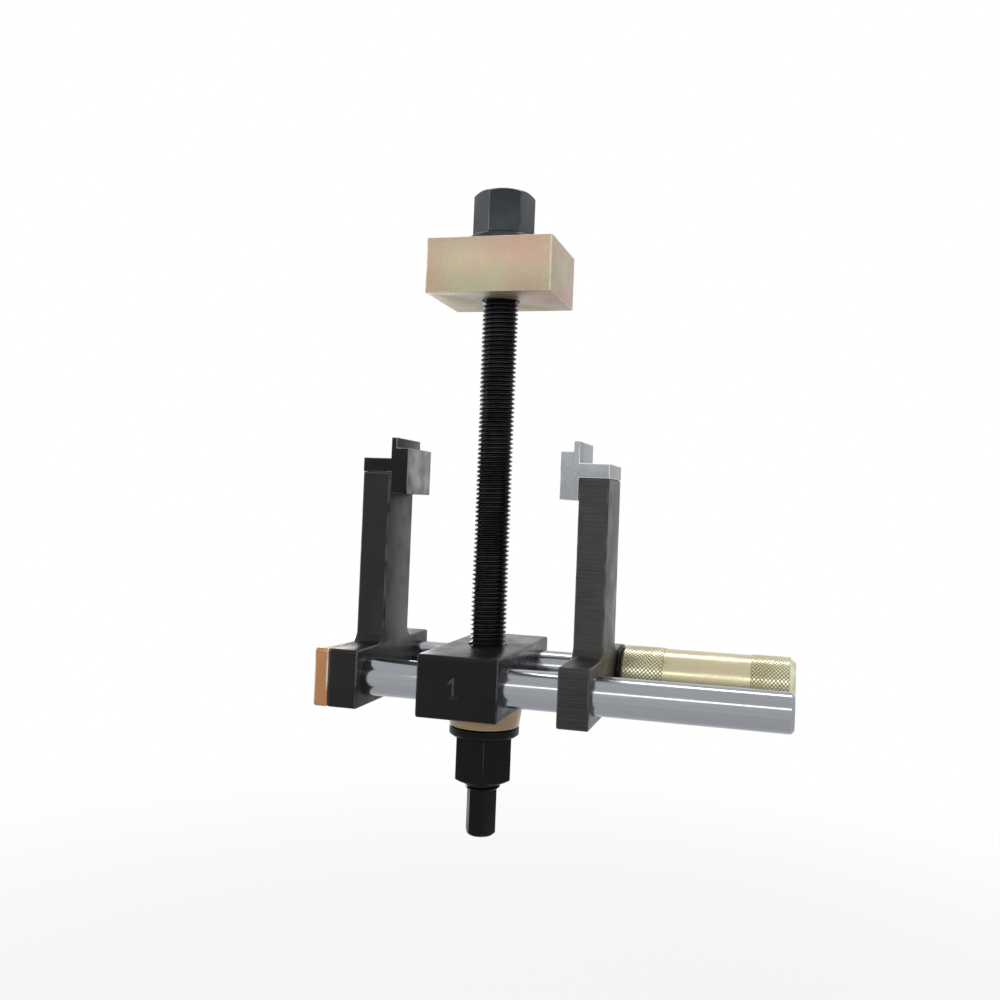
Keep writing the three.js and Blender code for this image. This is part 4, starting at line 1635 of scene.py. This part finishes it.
@dataclass
class Sleeve(Assembly):
    """The knurled sleeve nut on the rear bar, and its washer."""

    knurl_length: float = 19 * MM
    cells: int = 10
    steps: int = 46
    knurl_height: float = 0.34 * MM
    land: float = 0.17 * MM
    waist_depth: float = 0.3 * MM
    chamfer: float = 2.5 * MM
    mouth_chamfer: float = 1.0 * MM
    bore_gap: float = 0.3 * MM
    bore_depth: float = 68 * MM
    sharp_deg: float = 20
    washer_edge: float = 0.2 * MM

    def build(self) -> None:
        """Models the sleeve and the washer."""
        self.sleeve()
        self.washer()

    def band(self, radius: float, start: float, end: float) -> list[Point]:
        """The profile of a band, divided into equal cells."""
        return [(radius, start + (end - start) * step / self.cells) for step in range(self.cells + 1)]

    def sleeve(self) -> None:
        """Models the sleeve's body and raises the knurl on its two bands."""
        low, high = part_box("knurled_sleeve")
        radius = (high.z - low.z) / 2
        base = radius - self.knurl_height
        waist = radius - self.waist_depth
        bar_low, bar_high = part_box("rear_guide_bar")
        bore = (bar_high.z - bar_low.z) / 2 + self.bore_gap
        left = (low.x + self.mouth_chamfer, low.x + self.knurl_length)
        right = (high.x - self.knurl_length, high.x - self.chamfer)
        profile = [
            (0, low.x + self.bore_depth), (bore, low.x + self.bore_depth), (bore, low.x + self.mouth_chamfer),
            (bore + self.mouth_chamfer, low.x), (base - self.mouth_chamfer, low.x), *self.band(base, *left),
            (waist, left[1] + self.waist_depth), (waist, right[0] - self.waist_depth),
            *self.band(base, *right), (radius - self.chamfer, high.x), (0, high.x),
        ]
        piece = turned("sleeve_visual", profile, Axis.X, self.steps)
        open_slots(piece, BARE_AND_SHADE_SLOT + 1)
        for span in (left, right):
            self.knurl(piece, span)
        # The right end's chamfer takes the lighter edge colour: a painted highlight.
        with editing(piece):
            select_faces(piece, lambda centre, normal: right[1] < centre.x < high.x - MERGE_DISTANCE)
            assign_slot(piece, EDGE_SLOT)
        moved(piece, off_x(low, high))
        smooth(piece, math.radians(self.sharp_deg))
        self.hand_over(piece, "knurled_sleeve", SLEEVE_ZINC, KNURL_GROOVE_SHADE)

    def knurl(self, piece: bpy.types.Object, span: Point) -> None:
        """Turns a band's square cells into raised diamonds.

        Args:
            piece: the sleeve, about the X axis.
            span: where the band starts and ends along X.
        """
        cell = (span[1] - span[0]) / self.cells
        margin = SAME_PLACE

        def inside(centre: Vector, normal: Vector) -> bool:
            """Whether a face lies on the band."""
            return span[0] < centre.x < span[1] and math.hypot(normal.y, normal.z) > 0.9

        def old_edge(edge: bmesh.types.BMEdge) -> bool:
            """Whether an edge joins two corners of the square cells, inside the band.

            Args:
                edge: the edge.

            Returns:
                Whether it does, and lies between two of the poked triangles.
            """
            on_grid = all(
                abs((vertex.co.x - span[0]) / cell - round((vertex.co.x - span[0]) / cell)) < 0.02
                and span[0] - margin < vertex.co.x < span[1] + margin
                for vertex in edge.verts
            )
            sides = [len(face.verts) for face in edge.link_faces]
            return on_grid and sides == [3, 3]

        with editing(piece, "FACE"):
            select_faces(piece, inside)
            bpy.ops.mesh.poke()
        with editing(piece, "EDGE"):
            select_edges(piece, old_edge)
            bpy.ops.mesh.dissolve_edges(use_verts=False)
        with editing(piece, "FACE"):
            select_faces(piece, inside)
            # The diamonds' walls take the darker groove finish: painted shade in the grooves.
            assign_slot(piece, BARE_AND_SHADE_SLOT)
            bpy.ops.mesh.inset(use_individual=True, thickness=self.land, depth=self.knurl_height)
            # Their tops take the lighter edge colour: wear, and partly a painted highlight.
            assign_slot(piece, EDGE_SLOT)

    def washer(self) -> None:
        """Models the washer behind the sleeve."""
        low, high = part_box("sleeve_washer")
        radius = (high.z - low.z) / 2
        bar_low, bar_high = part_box("rear_guide_bar")
        bore = (bar_high.z - bar_low.z) / 2 + self.bore_gap
        profile = [(bore, low.x), (radius, low.x), (radius, high.x), (bore, high.x), (bore, low.x)]
        piece = moved(turned("sleeve_washer_visual", profile, Axis.X), off_x(low, high))
        soften(piece, self.washer_edge)
        smooth(piece)
        self.hand_over(piece, "sleeve_washer", BLACK_OXIDE)


# ---------------------------------------------------------------- studio


@dataclass
class Studio:
    """The camera, the lamps, the sky and a pale floor."""

    lens: float = 36.41
    shift: Point = (-0.0162, -0.0239)
    eye: tuple[float, float, float] = (0.1298, -0.4338, -0.0234)
    heading_deg: float = 15.41
    tilt_deg: float = 1.63
    roll_deg: float = 2.21
    floor_drop: float = 0.13
    fade_start: float = 0.35
    fade_end: float = 0.75
    near_white: float = 0.85
    floor_size: float = 3.0
    floor_colour: Colour = (0.38, 0.38, 0.4)
    fill: Colour = (0.62, 0.63, 0.65)

    def build(self) -> None:
        """Sets up everything round the object."""
        self.camera()
        self.sky()
        self.floor()
        self.lamp("overhead", (0.0, 0.38, 0.75), (0.0, 0.0, -0.05), (0.8, 0.2), 3.0)
        self.lamp("left_panel", (-0.8, -0.2, 0.2), (0.0, 0.0, 0.0), (0.5, 0.5), 1.6)
        self.lamp("front_strip", (0.1, -0.95, 0.42), (0.0, 0.0, -0.05), (1.4, 0.13), 2.2)
        fill = self.lamp("front_fill", (0.1, -0.95, 0.42), (0.0, 0.0, -0.05), (1.4, 0.5), 1.3)
        fill.visible_glossy = False
        self.lamp("rear_panel", (-0.46, 0.62, 0.03), (-0.06, 0.0, -0.09), (0.3, 0.2), 1.5)
        bpy.context.scene.view_settings.view_transform = "Standard"

    def camera(self) -> None:
        """Places the camera."""
        data = bpy.data.cameras.new("camera")
        data.lens = self.lens
        data.sensor_width = 36.0
        data.shift_x, data.shift_y = self.shift
        data.clip_start = 0.01
        eye = bpy.data.objects.new("camera", data)
        heading = Matrix.Rotation(math.radians(self.heading_deg), 4, "Z")
        tilt = Matrix.Rotation(math.radians(90 + self.tilt_deg), 4, "X")
        roll = Matrix.Rotation(math.radians(self.roll_deg), 4, "Z")
        eye.matrix_world = Matrix.Translation(self.eye) @ heading @ tilt @ roll
        bpy.context.scene.collection.objects.link(eye)
        bpy.context.scene.camera = eye

    def lamp(
        self, name: str, at: Sequence[float], to: Sequence[float], size: Point, power: float
    ) -> bpy.types.Object:
        """Adds a soft rectangular lamp.

        Args:
            name: its name.
            at: its place.
            to: what it looks at.
            size: its width and height.
            power: its power in watts.

        Returns:
            The lamp.
        """
        data = bpy.data.lights.new(name, "AREA")
        data.shape = "RECTANGLE"
        data.size, data.size_y = size
        data.energy = power
        lamp = bpy.data.objects.new(name, data)
        aim = (Vector(to) - Vector(at)).to_track_quat("-Z", "Y").to_matrix().to_4x4()
        lamp.matrix_world = Matrix.Translation(at) @ aim
        bpy.context.scene.collection.objects.link(lamp)
        return lamp

    def sky(self) -> None:
        """A plain fill for the surfaces, and white where it is seen, in metal too."""
        world = bpy.data.worlds.new("studio")
        bpy.context.scene.world = world
        world.use_nodes = True
        world.node_tree.nodes.clear()
        hand = Nodes(world.node_tree)
        shown = hand.blend(hand.seen(), self.fill, (1.0, 1.0, 1.0))
        sky = hand.add("Background", {"Color": shown, "Strength": 1.0})
        hand.feed(hand.add("OutputWorld").inputs["Surface"], sky.outputs["Background"])

    def floor(self) -> None:
        """A pale floor below the object, white where it is seen, in metal too."""
        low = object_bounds()[0]
        deselect_everything()
        bpy.ops.mesh.primitive_plane_add(size=self.floor_size, location=(0, 0, 0))
        floor = bpy.context.object
        floor.name = "floor"
        settled(floor, (0, 0, low[2] - self.floor_drop))
        made = bpy.data.materials.new("floor")
        made.use_nodes = True
        made.node_tree.nodes.clear()
        hand = Nodes(made.node_tree)
        pale = hand.add("BsdfDiffuse", {"Color": self.floor_colour})
        white = hand.add("Emission", {"Color": (1, 1, 1, 1), "Strength": 1.0})
        place = hand.add("TexCoord").outputs["Object"]
        away = hand.add("VectorMath", {0: place}, operation="LENGTH").outputs["Value"]
        fading = hand.span(away, self.fade_start, self.fade_end, self.near_white, 1.0)
        white_share = hand.maths("MULTIPLY", hand.seen(), fading)
        mix = hand.add("MixShader", {0: white_share, 1: pale.outputs[0], 2: white.outputs[0]})
        hand.feed(hand.add("OutputMaterial").inputs["Surface"], mix.outputs[0])
        floor.data.materials.append(made)
        floor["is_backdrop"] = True


def main() -> None:
    """Builds the scene in order."""
    logging.basicConfig(level=logging.INFO, format="%(name)s %(message)s")
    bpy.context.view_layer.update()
    wardrobe = Wardrobe(SharedEffects.build())
    for assembly in (
        GuideBars(wardrobe), CrossPieces(wardrobe), Claws(wardrobe), Screws(wardrobe), Spindle(wardrobe),
        CollarNuts(wardrobe), PressurePlate(wardrobe), ThrustBearing(wardrobe), Sleeve(wardrobe),
    ):
        assembly.build()
    Studio().build()


if __name__ == "__main__":
    main()
